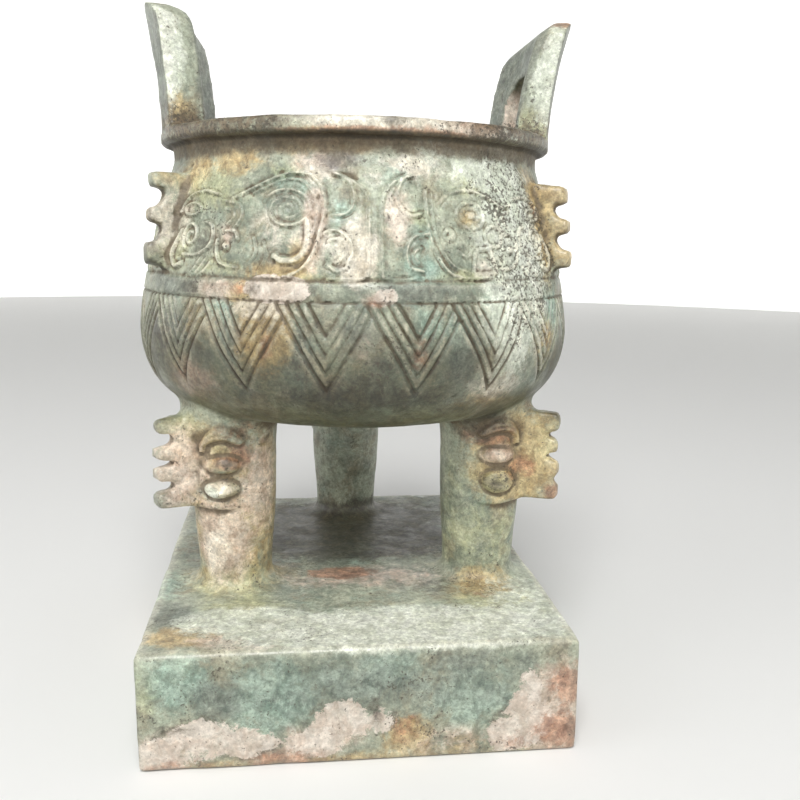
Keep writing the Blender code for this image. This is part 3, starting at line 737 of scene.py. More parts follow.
points = read(stone.data)
mask = on_mask(points)
chosen = np.flatnonzero(mask > 0)
turn, radius, azimuth = nearest_leg(points[chosen])
height = points[chosen, 2] + 0.4 * lattice(points[chosen], 6.0, 4)
side_turn = np.abs(turn)
swell = SWELL * ramp(SWELL_END, 40, side_turn) * ramp(MASK_FOOT - 0.5, MASK_FOOT + 0.5, height)
swell *= ramp(96, 84, height)
face = swell.copy()
lift = np.choose(np.searchsorted(LEG_AZIMUTHS, azimuth), list(FACE_LIFT.values()))
height -= lift * ramp(62, 70, height)
brow = np.array(BROW_LINE) * (DEGREE, 1)
near, distance = distance_to(brow, side_turn * DEGREE, height, 4.0)
half = np.interp(side_turn[near], *BROW_HALF)
under = height[near] < np.interp(side_turn[near], *zip(*BROW_LINE))
lip = BROW_RISE * (1 - np.clip(distance / half, 0, 1) ** TOP_FLAT)
below = BROW_GROOVE * np.sin(np.pi * np.clip((distance - half) / BROW_GROOVE_WIDTH, 0, 1))
over = BROW_RISE * ramp(half + BROW_OUT, half - BROW_IN, distance)
face[near] += np.where(under, lip - below, over)
cut = BROW_CUT * np.clip(1 - distance / BROW_CUT_WIDTH, 0, 1)
face[near] -= cut * ramp(28, 34, side_turn[near]) * ramp(66, 60, side_turn[near])
for form in (EYE, CHEEK):
    relief, off = boss(side_turn, height, *form)
    if form is CHEEK:
        relief *= 1 + CHEEK_ROUGH * lattice(points[chosen], 1.9, 12)
    face = np.where(off < 1, np.maximum(face, swell + relief), face + relief)
outward = np.zeros((len(chosen), 3))
for leg in LEG_AZIMUTHS:
    here = azimuth == leg
    spoke = np.radians(turn[here] + leg)
    outward[here] = np.stack([np.cos(spoke), np.sin(spoke), np.zeros(here.sum())], 1)
points[chosen] += outward * (face * mask[chosen])[:, None]
write(stone.data, points)

# Wear: long rubbed and buried, the stone has lost its sharp arrises unevenly, is pitted, dips
# and swells slightly everywhere, and carries a rough crust on its right shoulder.
CRUST_AZIMUTH, CRUST_HEIGHT = -45, 139
CRUST_WIDE, CRUST_HIGH = 30, 44
PIT_CELL, PIT_SIZE = 1.4, 0.38
SPARSE_CELL, SPARSE_SIZE = 6.0, 0.16
PIT_DEPTH, PIT_LEAST = 0.35, 0.3
# How much of an arris is rubbed away at least and beyond that, and the share of it on the block
# and the rim, measured against a form eased in so many rounds.
RUBBED_LEAST, RUBBED_MORE, RUBBED_CRISP, RUBBED_ROUNDS = 0.1, 0.8, 0.4, 12
# The dips and swells, each as its depth and breadth in mm and its seed.
DIPS = ((0.14, 11.0, 8), (0.07, 4.0, 9), (0.03, 1.6, 10))


def pits(points, cell, seed, size):
    """1 in the middle of scattered round pits, 0 outside them. size is their share of a cell."""
    place = points / cell
    corner = np.floor(place).astype(np.int64)
    nearest = np.full(len(points), 9.0)
    for step in product((-1, 0, 1), repeat=3):
        home = corner + step
        key = cell_key(home, seed)
        spot = home.astype(float)
        for axis in range(3):
            key = scrambled(key)
            spot[:, axis] += key / LARGEST
        reach = size * (PIT_LEAST + (1 - PIT_LEAST) * scrambled(key) / LARGEST)
        nearest = np.minimum(nearest, np.sqrt(((place - spot) ** 2).sum(1)) / reach)
    return ramp(1, 0.4, nearest)


def keep(mesh, name, values):
    """Stores one number a point, under the name that the material reads."""
    held = mesh.attributes.new(name=name, type="FLOAT", domain="POINT")
    held.data.foreach_set("value", np.asarray(values, np.float32))


def near_wall(points, azimuth, height, half_width, half_height):
    """1 at a place on the bowl's outside or rim, falling evenly to 0 at its half sizes."""
    turns, radii, _ = around_axis(points)
    across = ((turns - azimuth + 180) % 360 - 180) * math.radians(1) * radii
    off = np.hypot(across / half_width, (points[:, 2] - height) / half_height)
    return np.clip(1 - off, 0, 1) * ramp(46, 52, radii)


points = read(stone.data)
normals = read(stone.data, "normal")
edges = edges_of(stone.data)
smooth = spread(points, edges, RUBBED_ROUNDS)
proud = ((points - smooth) * normals).sum(1)
rubbed = ramp(0.1, 0.6, lattice(points, 9.0, 5)) * RUBBED_MORE + RUBBED_LEAST
crisp = (points[:, 2] < BLOCK_HEIGHT + 1) | (points[:, 2] > RIM_START)
rubbed *= np.where(crisp, RUBBED_CRISP, 1.0)
points += (smooth - points) * (rubbed * ramp(0.12, 0.6, proud))[:, None]
crust = near_wall(points, CRUST_AZIMUTH, CRUST_HEIGHT, CRUST_WIDE, CRUST_HIGH)
crust = ramp(0.35, 0.6, crust + 0.3 * lattice(points, 7.0, 6) + 0.12 * lattice(points, 2.5, 7))
_, radii, heights = around_axis(points)
crust *= 1 - ramp(1.5, 3.0, radii - outer_radius(heights)) * ramp(79, 77, heights)
rim_top = ramp(170.5, 171.2, points[:, 2]) * ramp(173.5, 172.8, points[:, 2]) * ramp(48, 50, radii)
dip = sum(depth * lattice(points, cell, seed) for depth, cell, seed in DIPS)
dip += crust * (0.25 + 0.1 * lattice(points, 1.4, 11))
coarse = np.maximum(0.7 * crust, rim_top)
rough = np.flatnonzero(coarse > 0.05)
dip[rough] -= PIT_DEPTH * coarse[rough] * pits(points[rough], PIT_CELL, 3, PIT_SIZE)
keep(stone.data, "pepper", crust)
sparse = pits(points, SPARSE_CELL, 4, SPARSE_SIZE)
dip -= PIT_DEPTH * sparse * ramp(0.5, 2.0, points[:, 2])
points += normals * (dip * ramp(0.2, 3.0, points[:, 2]))[:, None]
points[:, 2] = np.where(points[:, 2] < 0.05, 0, points[:, 2])
write(stone.data, points)

# Thinning: first the cuts and crests are noted for the material. Then the carving keeps small
# faces, most of all on the front, and the plain sides get larger ones, so that the whole stone
# stays one piece of under 200,000 triangles.
FRONT_FACES, BACK_FACES, PLAIN_FACES = 100000, 42000, 54000
# How far below or above its surroundings, in mm, a point counts as wholly in a cut or on a crest.
CUT_FULL, CREST_FULL = 0.2, 0.22
FINE_ROUNDS, BROAD_ROUNDS = 10, 60


def thin(mesh, chosen, faces):
    """Merges the smallest details away among the chosen points, down to a number of triangles."""
    select_faces(mesh, chosen)
    picked = np.empty(len(mesh.polygons), bool)
    mesh.polygons.foreach_get("select", picked)
    bpy.ops.object.mode_set(mode="EDIT")
    bpy.ops.mesh.decimate(ratio=faces / picked.sum())
    bpy.ops.object.mode_set(mode="OBJECT")


points = read(stone.data)
normals = read(stone.data, "normal")
level = points[:, 2]
detail = spread(((points - spread(points, edges, FINE_ROUNDS)) * normals).sum(1), edges, 2)[:, 0]
broad = ((points - spread(points, edges, BROAD_ROUNDS)) * normals).sum(1)
hollow = np.clip(-detail / CUT_FULL, 0, 1) + 0.2 * np.clip(-broad / 1.2, 0, 1)
keep(stone.data, "hollow", hollow * (1 - 0.85 * ramp(42, 38, level) * ramp(32.5, 33, level)))
# The block's top edge and the carved wall take the paler crest colour most strongly: partly rubbed wear,
# partly a painted highlight.
arris = 0.5 * ramp(31.5, 32.5, level) * ramp(34.5, 33.8, level)
paler = on_wall(points) * (1 - 0.15 * ramp(BAND_HIGH, BAND_HIGH + 1, level - UNDERSIDE))
keep(stone.data, "crest", np.clip(detail / CREST_FULL, 0, 1) * np.maximum(np.maximum(0.3, arris), paler))
edit_all()
bpy.ops.mesh.quads_convert_to_tris()
bpy.ops.object.mode_set(mode="OBJECT")
for zone, faces in (("front", FRONT_FACES), ("back", BACK_FACES), ("plain", PLAIN_FACES)):
    points = read(stone.data)
    carved = (on_wall(points) > 0) | (on_mask(points) > 0)
    front = points[:, 1] < AXIS.y
    thin(stone.data, {"front": carved & front, "back": carved & ~front, "plain": ~carved}[zone], faces)

# The stains, with some painted shade among them: where cream, ivory, ochre, moss green, rust, pink,
# turquoise, slate and dark patches and the pale crust lie, and where some dark rows paint shade under the
# rim, the belly and the bowl. On the wall a stain is placed by azimuth and height, elsewhere by its middle
# in millimetres. Its half width and half height follow, or three half sizes, and strength.
WALL_STAINS_AND_SHADE = {
    "teal": (
        (-97, 147, 6, 7, 1.1), (-79, 144, 7, 9, 0.9), (-78, 133, 9, 6, 1.1), (-84, 158, 14, 5, 0.7),
        (-127, 120, 8, 9, 0.9), (-78, 119, 7, 8, 0.8), (-71, 116, 6, 10, 1.0), (-110, 156, 12, 6, 0.8),
        (-140, 157, 12, 8, 0.8), (-60, 122, 8, 8, 0.7), (-104, 113, 7, 6, 0.8), (-36, 122, 9, 10, 1.0),
        (60, 150, 16, 12, 0.9), (120, 117, 12, 10, 0.9), (165, 141, 12, 14, 0.8), (15, 114, 12, 10, 0.8),
    ),
    "slate": (
        (-106, 110, 9, 11, 1.2), (-69, 109, 10, 11, 1.2), (-132, 109, 9, 11, 1.0), (-66, 140, 9, 9, 0.4),
        (-88, 108, 9, 8, 0.9), (-82, 127, 26, 4.5, 1.2), (-144, 127, 18, 5, 1.5), (-140, 116, 14, 9, 0.8),
        (-94, 116, 10, 9, 0.9), (-112, 150, 9, 7, 0.6), (-50, 108, 10, 12, 0.4), (-150, 140, 8, 14, 0.7),
        (60, 111, 12, 12, 0.9), (130, 108, 14, 12, 0.9), (0, 145, 14, 14, 0.6),
    ),
    "ochre": (
        (-129, 161, 13, 6, 1.3), (-143, 158, 12, 9, 1.2), (-40, 112, 10, 12, 0.8),
        (-111, 131.5, 15, 4.5, 1.5), (-115, 116, 11, 15, 2.0), (-122, 126, 8, 5, 1.2),
        (-107, 136, 6, 7, 1.3), (-65, 147, 5, 5, 0.8), (-92, 134, 5, 6, 0.8), (-88, 168.3, 36, 1.8, 1.3),
        (-36, 145, 9, 26, 1.4), (-56, 134, 7, 8, 0.7), (-60, 97, 16, 5, 0.9), (-145, 168, 20, 5, 1.0),
        (-104, 164, 24, 3.5, 0.9), (-152, 146, 10, 12, 0.9), (-132, 117, 13, 10, 0.7),
        (-33, 154, 9, 12, 1.2), (75, 133, 12, 9, 1.1), (140, 161, 16, 6, 0.9), (100, 113, 9, 12, 0.8),
    ),
    "moss": (
        (-134, 153, 18, 8, 1.1), (-145, 137, 10, 10, 1.0), (-79, 146, 6, 4, 1.1), (-62, 156, 16, 8, 0.7),
        (-128, 133, 12, 6, 0.8), (-97, 136, 5, 6, 0.8), (-100, 130, 24, 2.5, 0.8), (-130, 170, 26, 3, 0.9),
        (-66, 131, 16, 3, 1.0), (-112, 158, 16, 4, 0.7), (30, 152, 18, 10, 0.9), (104, 158, 20, 6, 0.9),
        (90, 170, 40, 4, 0.7),
    ),
    "pink": (
        (-128, 127, 11, 4.5, 1.1), (-104, 143, 5, 15, 1.4), (-103, 160, 13, 5, 1.0), (-84, 146, 6, 11, 1.0),
        (-138, 101, 16, 9, 1.2), (-90, 125, 5, 3, 1.0), (-128, 141, 7, 5, 0.7), (-62, 170, 24, 4, 1.1),
        (-44, 138, 7, 20, 0.8), (-92, 113, 7, 8, 0.5), (98, 142, 8, 14, 1.0), (45, 158, 16, 5, 0.9),
        (155, 122, 12, 8, 0.8),
    ),
    "ivory": (
        (-94, 137, 8, 12, 1.5), (-112, 142, 16, 13, 0.5), (-147, 145, 9, 16, 0.8), (-57, 101, 16, 7, 0.9),
        (-84, 148, 5, 8, 0.6), (-90, 157, 6, 4, 0.6), (-104, 157, 8, 4, 0.8), (-62, 133, 5, 5, 1.0),
        (-88, 170.8, 34, 3.6, 1.5), (-101, 141, 4, 9, 0.6), (-80, 160, 16, 6, 0.8), (-116, 122, 12, 4, 1.0),
        (85, 143, 7, 12, 0.9), (148, 134, 8, 10, 0.9), (30, 130, 12, 6, 0.8),
    ),
    "cream": ((-112, 127.3, 12, 4.6, 1.8), (-87.5, 126, 4.5, 2.8, 1.5), (108, 127.5, 11, 4, 1.2)),
    "rust": (
        (-121, 127, 4, 3.5, 0.9), (-114, 112, 4, 8, 0.6), (-80, 111, 5, 7, 0.7), (-99, 166, 26, 2.5, 0.8),
        (-88, 168, 40, 1.5, 1.5), (-136, 102, 20, 10, 0.45), (-148, 112, 12, 14, 0.35),
        (-58, 171, 20, 3.5, 0.9), (-90, 124, 4, 2, 0.8), (-38, 150, 8, 8, 0.6), (125, 139, 7, 8, 0.9),
        (116, 127, 5, 4, 0.9),
    ),
    "dark": (
        # Among these rows, painted shade: those at heights 166 and 167.4 under the rim's overhang, and
        # those at 99 and 103 under the belly.
        (-99, 160.5, 9, 5, 1.25), (-120, 166, 70, 2.0, 1.1), (-60, 166, 70, 2.0, 1.1),
        (-53, 124, 5, 34, 0.8), (-134, 139, 10, 9, 0.8), (-118, 127, 5, 3, 0.6), (-138, 170.5, 30, 4, 1.6),
        (-46, 171, 30, 4, 1.3), (-85, 171, 6, 2.5, 1.0), (-43, 154, 6, 14, 0.9), (-116, 134, 8, 5, 0.5),
        (-150, 112, 16, 14, 0.8), (-98, 103, 22, 6, 0.6), (-60, 103, 20, 7, 0.35),
        (-136, 127, 16, 4.5, 0.6), (-132, 114, 16, 12, 0.5), (-84, 127, 26, 4, 0.35),
        (-95, 99, 44, 7, 0.95), (-120, 171, 30, 4, 0.8), (-88, 167.4, 60, 1.3, 1.2),
    ),
    "crust": (
        (-50, 140, 20, 40, 1.3), (-54, 112, 12, 18, 0.8), (-60, 160, 18, 9, 0.9), (-56, 122, 14, 16, 1.2),
        (-72, 163, 14, 5, 0.7),
    ),
}
STAINS_AND_SHADE = {
    "teal": (
        (-50, -70, 25, 17, 3, 12, 1.3), (-24, -70, 20, 20, 3, 15, 1.4), (8, -70, 26, 20, 3, 11, 1.0),
        (30, -70, 17, 20, 3, 14, 1.1), (0, -70, 22, 90, 3, 22, 0.5), (-58, -22, 34, 9, 18, 4, 1.3),
        (4, 0, 34, 16, 20, 5, 0.8), (-6, 58, 20, 60, 20, 14, 0.9), (60, 20, 18, 8, 40, 14, 1.0),
        (-60, -20, 20, 8, 40, 14, 1.0), (46, -22, 92, 10, 12, 6, 0.6),
    ),
    "slate": (
        (-39, -70, 20, 11, 3, 9, 1.6), (-56, -44, 34, 13, 12, 4, 1.9), (26, -70, 29, 26, 3, 7, 1.0),
        (4, -70, 22, 70, 3, 18, 0.9), (32, -70, 19, 26, 3, 12, 0.8), (44, -70, 26, 9, 3, 8, 0.9),
        (41, -26, 52, 16, 12, 16, 0.5), (43, -29, 66, 6, 5, 4, 1.2), (2.5, 52, 60, 18, 18, 44, 1.0),
        (-60, -29, 142, 16, 14, 20, 1.2), (-57, -28, 62, 12, 12, 8, 0.7), (62, -28, 63, 12, 12, 8, 0.6),
    ),
    "ochre": (
        (-49, -59, 33.5, 15, 8, 3, 2.0), (-22, -51, 33.5, 10, 5, 3, 1.1), (0, -70, 1, 90, 8, 4, 0.8),
        (12, -70, 7, 9, 3, 9, 1.6), (28, -70, 3, 16, 3, 5, 0.7), (-37, -16, 56, 28, 28, 44, 1.2),
        (-46, -28, 78, 16, 14, 14, 1.2), (-27, -23, 74, 14, 14, 18, 1.0), (52, -27, 74, 22, 18, 22, 1.9),
        (40, -32, 35, 18, 12, 6, 1.4), (66, -28, 145, 12, 14, 18, 1.8), (-64, -26, 148, 10, 12, 8, 0.9),
        (-54, -14, 177, 10, 10, 7, 1.6), (-60, 20, 12, 8, 30, 14, 0.9),
    ),
    "moss": (
        (-33, -40, 34, 18, 12, 6, 1.0), (-38, -26, 36, 18, 16, 9, 1.1), (-52, -28, 86, 12, 12, 8, 1.0),
        (56, -12, 176, 12, 14, 8, 1.5), (-60, -16, 184, 14, 8, 14, 0.6), (60, -27, 78, 10, 10, 14, 0.6),
        (41.8, -15.3, 50, 30, 30, 24, 0.8), (41.8, -15.3, 66, 28, 28, 20, 0.6),
        (42, -42, 33.5, 20, 10, 4, 1.2), (43, -31, 66.5, 8, 7, 5.5, 1.6), (-58, -70, 22, 6, 3, 12, 0.9),
        (-40, -27, 78, 8, 8, 4, 0.9),
    ),
    "pink": (
        (-40, -26, 50, 12, 12, 20, 1.8), (-52, -28, 72, 14, 12, 18, 1.3), (-28, -25, 66, 12, 12, 22, 1.1),
        (54, 21, 184, 13, 7, 18, 1.9), (54, -70, 12, 12, 14, 20, 2.0), (24, -70, 5, 24, 3, 8, 0.6),
        (-22, -70, 3, 16, 3, 6, 1.0), (8, -20, 33.5, 44, 14, 3, 0.9), (-40, -62, 33.5, 12, 6, 3, 0.9),
        (45, -30, 75.5, 8, 7, 4.5, 1.9), (-50, -70, 7, 14, 3, 8, 1.0), (-10, -70, 8, 20, 3, 8, 0.8),
    ),
    "ivory": (
        (-42, -27, 46, 8, 8, 14, 0.9), (-60, -18, 194, 12, 8, 20, 1.5), (-30, -66, 33.5, 18, 6, 3, 0.8),
        (-40, -28, 66, 7, 6, 4, 1.0), (10, 70, 10, 40, 8, 10, 0.8), (12, -58, 34, 60, 16, 3, 1.6),
    ),
    "cream": (
        (-55, -70, 4, 13, 3, 7, 1.2), (-42, -70, 9, 14, 3, 8, 1.2), (-31, -70, 7.5, 11, 3, 6, 1.1),
        (-13, -70, 6, 11, 3, 6, 1.1), (-5, -70, 12, 11, 3, 9, 1.2), (4, -70, 12, 9, 3, 5, 1.1),
        (41, -70, 6, 9, 3, 8, 1.1), (46, -70, 11, 9, 3, 11, 1.2), (46, -70, 22, 5, 3, 4, 1.0),
        (60, -40, 10, 8, 26, 12, 1.0), (-60, 10, 8, 8, 40, 10, 1.0),
    ),
    "rust": (
        (55, -70, 6, 10, 12, 9, 1.5), (57, -69, 20, 9, 9, 9, 1.2), (-3, -16, 33.5, 14, 6, 4, 2.2),
        (65, -14, 207, 8, 10, 6, 2.0), (-20, -70, 2, 18, 8, 4, 0.9), (-35, -28, 78.5, 8, 7, 4, 0.8),
        (42, -28, 82, 14, 10, 7, 1.0), (52, -28, 71, 7, 8, 6, 1.1), (63, -28, 63, 6, 8, 4, 1.2),
        (60, -50, 8, 8, 20, 12, 1.2), (-57, -12, 178, 5, 10, 8, 0.8), (12, -70, 9, 6, 3, 7, 0.9),
        (-60, 40, 16, 8, 20, 10, 1.0), (40, -37, 34, 6, 5, 3, 0.8), (-36, -30, 75.5, 10, 8, 5, 1.1),
        (-34, -30, 84, 14, 10, 6, 0.6), (-50, -70, 1, 22, 3, 5, 0.6), (44, -70, 3, 14, 3, 5, 0.6),
    ),
    "dark": (
        # Among these rows, painted shade: the first three, on the block's top under the bowl and on the
        # back leg. The rows at heights 82 to 85 on the legs' tops under the bowl are partly painted shade
        # and partly dirt.
        (2, 16, 34, 50, 26, 8, 2.6), (2, 40, 34, 62, 32, 9, 1.6), (2.5, 52, 60, 18, 18, 44, 1.0),
        (24, -30, 34, 20, 12, 3, 0.8), (3, -70, 15, 3, 3, 7, 0.9), (-38, -30, 74, 7, 5, 3, 0.8),
        (-37, -29, 82, 20, 14, 10, 0.5), (-58, -28, 63, 12, 12, 10, 0.45), (62, -28, 63, 12, 12, 9, 0.4),
        (-61, -30, 143, 14, 14, 20, 0.7), (-60, -66, 12, 4, 6, 22, 1.0), (39, -28, 85, 16, 12, 9, 1.15),
        (43, -31, 66.5, 8, 7, 5.5, 0.7), (-26, -22, 84, 12, 12, 8, 0.7), (-50, -70, 12, 12, 3, 3, 0.7),
        (54, -70, 32, 8, 3, 4, 0.6),
    ),
    "crust": (
        (14, -58, 33.5, 62, 17, 4, 2.2), (-32, -51, 33.5, 26, 13, 3, 1.5), (50, -40, 33.5, 20, 28, 4, 0.6),
        (62, -15, 188, 12, 8, 20, 1.7), (-60, -17, 192, 14, 8, 24, 1.8), (-43, -29, 65, 8, 6, 4, 0.9),
    ),
}

points, normals = read(stone.data), read(stone.data, "normal")
level = points[:, 2]
_, radii, heights = around_axis(points)
_, leg_radii, _ = nearest_leg(points)
# Painted shade: the ears' outer and inner sides, picked by the way they face, are darkened to plain slate,
# whatever colours lie on their edges.
EAR_SIDE_SHADE = 1.5
ear_side_shade = ramp(0.45, 0.7, np.abs(normals[:, 0])) * ramp(172.5, 174, level)
for name, places in STAINS_AND_SHADE.items():
    total = np.zeros(len(points))
    for azimuth, height, half_width, half_height, strength in WALL_STAINS_AND_SHADE[name]:
        total = np.maximum(total, strength * near_wall(points, azimuth, height, half_width, half_height))
    for *place, strength in places:
        off = np.sqrt((((points - place[:3]) / place[3:]) ** 2).sum(1))
        total = np.maximum(total, strength * np.clip(1 - off, 0, 1))
    total *= 1 - ear_side_shade
    keep(stone.data, name, total + EAR_SIDE_SHADE * ear_side_shade if name == "slate" else total)
# The rim is grainy all round, but less so at the middle of the front.
rim = ramp(79.4, 80.2, heights) * ramp(40, 50, radii) * ramp(94, 88, heights)
calm = ramp(0, 0.5, near_wall(points, -90, 170.5, 34, 16))
keep(stone.data, "grain", rim * (1 - 0.8 * calm))
# Painted shade on every face turned downwards from the bowl's underside up, under the bowl, the rim and the
# ears. With it a brown darkening deepens down the bowl to its underside, but not over the legs' masks, and
# it is thin where the crust comes down and above the right leg. A trace of it lies on the block's sides.
shade_and_darkening_below = ramp(-0.25, -0.7, normals[:, 2]) * ramp(84, 90, level)
darker_below = 0.95 * ramp(136, 102, level) * ramp(84, 88, level) * ramp(40, 46, radii)
darker_below *= np.maximum(ramp(16, 24, leg_radii), ramp(89, 96, level))
darker_below *= 1 - 0.85 * ramp(0, 0.5, near_wall(points, CRUST_AZIMUTH, 124, CRUST_WIDE, 24))
darker_below *= 1 - 0.5 * ramp(0, 0.5, near_wall(points, -54, 100, 24, 14))
darker_below = np.maximum(darker_below, 0.14 * ramp(34, 32, level))
keep(stone.data, "shade_and_darkening_below", np.maximum(shade_and_darkening_below, darker_below))

# The material: weathered jade, sawn, carved and rubbed to a satin, then buried long enough for
# brown earth to stay in every cut and for cream, ochre and turquoise to bloom through the green.
MM = 0.001
SAGE = ("#7f8877", "#a2a894")
VEIN = "#dedbc9"
FRINGE = "#5f5848"
CREST = "#e0dcc8"
EARTH = "#615440"
RIM_EARTH = "#6a5a45"
# Multiplied into the colour for the painted shade on down-turned faces and the brown darkening down the
# bowl.
SHADE_AND_DARKENING_TINT = "#8a8470"
SPECK = "#453e32"
# The stone's own tones, each with the size in mm of its patches, how far they are drawn out, the
# noise where a patch starts and is full, and how strongly it covers.
TONES = {
    "#bcbfa8": (9, 0.4, 0.50, 0.66, 0.7),
    "#8d7e62": (13, 0.0, 0.50, 0.62, 0.5),
    "#83998b": (11, 0.6, 0.54, 0.66, 0.45),
    "#d2d0bb": (2.6, 0.4, 0.52, 0.66, 0.25),
    "#6f6b57": (3.1, 0.4, 0.48, 0.36, 0.3),
}
# Each stain with the size in mm that its edge is broken up at, its two tones, how strong it is, and the
# reach where it starts and where it is full: close together for a crisp edge. The dark and slate layers
# also carry painted shade.
LAYERS = {
    "teal": (7, "#6f8d80", "#b0cabb", 0.7, 0.1, 0.9),
    "slate": (7, "#525851", "#838a7f", 0.8, 0.1, 1.0),
    "ochre": (6, "#9b7e4e", "#cdb684", 0.85, 0.1, 0.9),
    "moss": (7, "#a4a57a", "#c8c79d", 0.6, 0.1, 0.9),
    "pink": (7, "#bda493", "#dccbbd", 0.75, 0.1, 0.8),
    "ivory": (6, "#d2c8b5", "#ece5d6", 0.85, 0.15, 0.7),
    "cream": (8, "#c8b8a9", "#e2d8cc", 0.95, 0.3, 0.36),
    "rust": (5, "#84563f", "#bf8a69", 0.75, 0.15, 0.75),
    "dark": (6, "#38332b", "#5c5443", 0.88, 0.15, 0.85),
    "crust": (4, "#c6ccba", "#e3e7da", 0.85, 0.15, 0.6),
}
# The noises behind every pattern, each with the size of its patches in mm, how fine it goes, how
# rough it is and how far it is drawn out. Flecks and specks are as coarse as they need to show.
NOISES = {
    "wide": (34, 6, 0.68, 0.4),
    "middling": (9, 6, 0.68, 0.4),
    "small": (2.6, 6, 0.68, 0.4),
    "vein": (16, 8, 0.6, 0.8),
    "two tones": (4.5, 9, 0.75, 0.6),
    "rim grain": (1.7, 5, 0.75, 0),
    "grain": (2.4, 9, 0.82, 0),
    "mottle": (7, 9, 0.8, 0.6),
    "flecks": (0.8, 4, 0.65, 0),
    "low grit": (3, 4, 0.6, 0),
    "pepper": (12, 5, 0.7, 0.5),
    "specks": (0.9, 3, 0.6, 0),
    **{tone: (size, 7, 0.7, drawn) for tone, (size, drawn, *_) in TONES.items()},
    **{name: (size, 10, 0.8, 0.5) for name, (size, *_) in LAYERS.items()},
}
# Three of them lighten and darken the whole stone: between two noises, by these two factors.
LIGHT_AND_DARK = {
    "grain": (0.36, 0.64, 0.66, 1.34),
    "mottle": (0.38, 0.62, 0.8, 1.2),
    "flecks": (0.36, 0.64, 0.84, 1.16),
}
MARKS = ("hollow", "crest", "grain", "shade_and_darkening_below", "pepper")
# The kinds of node, their usual settings, and the output that one is read by if not the first.
NOISE, EASE, SUM, MIX = "ShaderNodeTexNoise", "ShaderNodeMapRange", "ShaderNodeMath", "ShaderNodeMix"
SMOOTH, COLOUR = {"interpolation_type": "SMOOTHSTEP"}, {"data_type": "RGBA"}
TIMES, TIMES_PLUS = {"operation": "MULTIPLY"}, {"operation": "MULTIPLY_ADD"}
READ_BY = {"ShaderNodeMix": 2, "ShaderNodeAttribute": 2, "ShaderNodeTexCoord": 3}


def linear(colour):
    """An sRGB hex colour as linear red, green, blue and alpha."""
    parts = [int(colour[i : i + 2], 16) / 255 for i in (1, 3, 5)]
    return (*[c / 12.92 if c <= 0.04045 else ((c + 0.055) / 1.055) ** 2.4 for c in parts], 1)


def node(tree, kind, inputs=(), **settings):
    """Adds a node with its settings. Its inputs, in order or by name or number, are each a value,
    a hex colour or a node to link."""
    made = tree.nodes.new(kind)
    for name, value in settings.items():
        setattr(made, name, value)
    for name, value in inputs.items() if isinstance(inputs, dict) else enumerate(inputs):
        if isinstance(value, bpy.types.Node):
            tree.links.new(value.outputs[READ_BY.get(value.bl_idname, 0)], made.inputs[name])
        else:
            made.inputs[name].default_value = linear(value) if isinstance(value, str) else value
    return made


jade = bpy.data.materials.new("weathered jade")
jade.use_nodes = True
tree = jade.node_tree
tree.nodes.clear()
amount = {name: node(tree, "ShaderNodeAttribute", attribute_name=name) for name in (*STAINS_AND_SHADE, *MARKS)}
noise = {}
place = node(tree, "ShaderNodeTexCoord")
for name, (size, detail, rough, drawn) in NOISES.items():
    pattern = {"Vector": place, "Scale": 1 / (size * MM), "Detail": detail, "Roughness": rough}
    noise[name] = node(tree, NOISE, {**pattern, "Distortion": drawn})

# The green of the stone itself: a wash of two tones, with patches of the others and with thin
# pale veins, such as buried jade gets.
share = node(tree, EASE, (noise["wide"], 0.4, 0.56), **SMOOTH)
colour = node(tree, MIX, {0: share, 6: SAGE[0], 7: SAGE[1]}, **COLOUR)
for tone, (_, _, start, full, most) in TONES.items():
    share = node(tree, EASE, (noise[tone], start, full, 0, most), **SMOOTH)
    colour = node(tree, MIX, {0: share, 6: colour, 7: tone}, **COLOUR)
vein = node(tree, SUM, (noise["vein"], 0.5), operation="SUBTRACT")
vein = node(tree, SUM, (vein,), operation="ABSOLUTE")
share = node(tree, EASE, (vein, 0.01, 0.0, 0, 0.2))
colour = node(tree, MIX, {0: share, 6: colour, 7: VEIN}, **COLOUR)

# The stains over it, each broken up at its edge and in two tones; the dark and slate ones also carry
# painted shade. The cream ones are waxy, with less grain, and have a dark fringe here and there.
uneven = node(tree, EASE, (noise["small"], 0.35, 0.6, 0.8, 1.0), **SMOOTH)
two_tone = node(tree, EASE, (noise["two tones"], 0.4, 0.6), **SMOOTH)
for name, (_, low_tone, high_tone, strength, start, full) in LAYERS.items():
    edge = node(tree, SUM, (noise[name], 2.8, -1.4), **TIMES_PLUS)
    inside = node(tree, SUM, (amount[name], 2.2), use_clamp=True, **TIMES)
    reach = node(tree, SUM, (edge, inside, amount[name]), **TIMES_PLUS)
    tone = node(tree, MIX, {0: two_tone, 6: low_tone, 7: high_tone}, **COLOUR)
    cover = node(tree, EASE, (reach, start, full, 0, strength), **SMOOTH)
    cover = node(tree, SUM, (cover, uneven), **TIMES)
    if name == "cream":
        waxy = cover
        fringe = node(tree, EASE, (reach, 0.05, 0.3, 0, 0.8), **SMOOTH)
        patchy = node(tree, EASE, (noise["middling"], 0.48, 0.6), **SMOOTH)
        fringe = node(tree, SUM, (fringe, patchy), **TIMES)
        colour = node(tree, MIX, {0: fringe, 6: colour, 7: FRINGE}, **COLOUR)
    colour = node(tree, MIX, {0: cover, 6: colour, 7: tone}, **COLOUR)

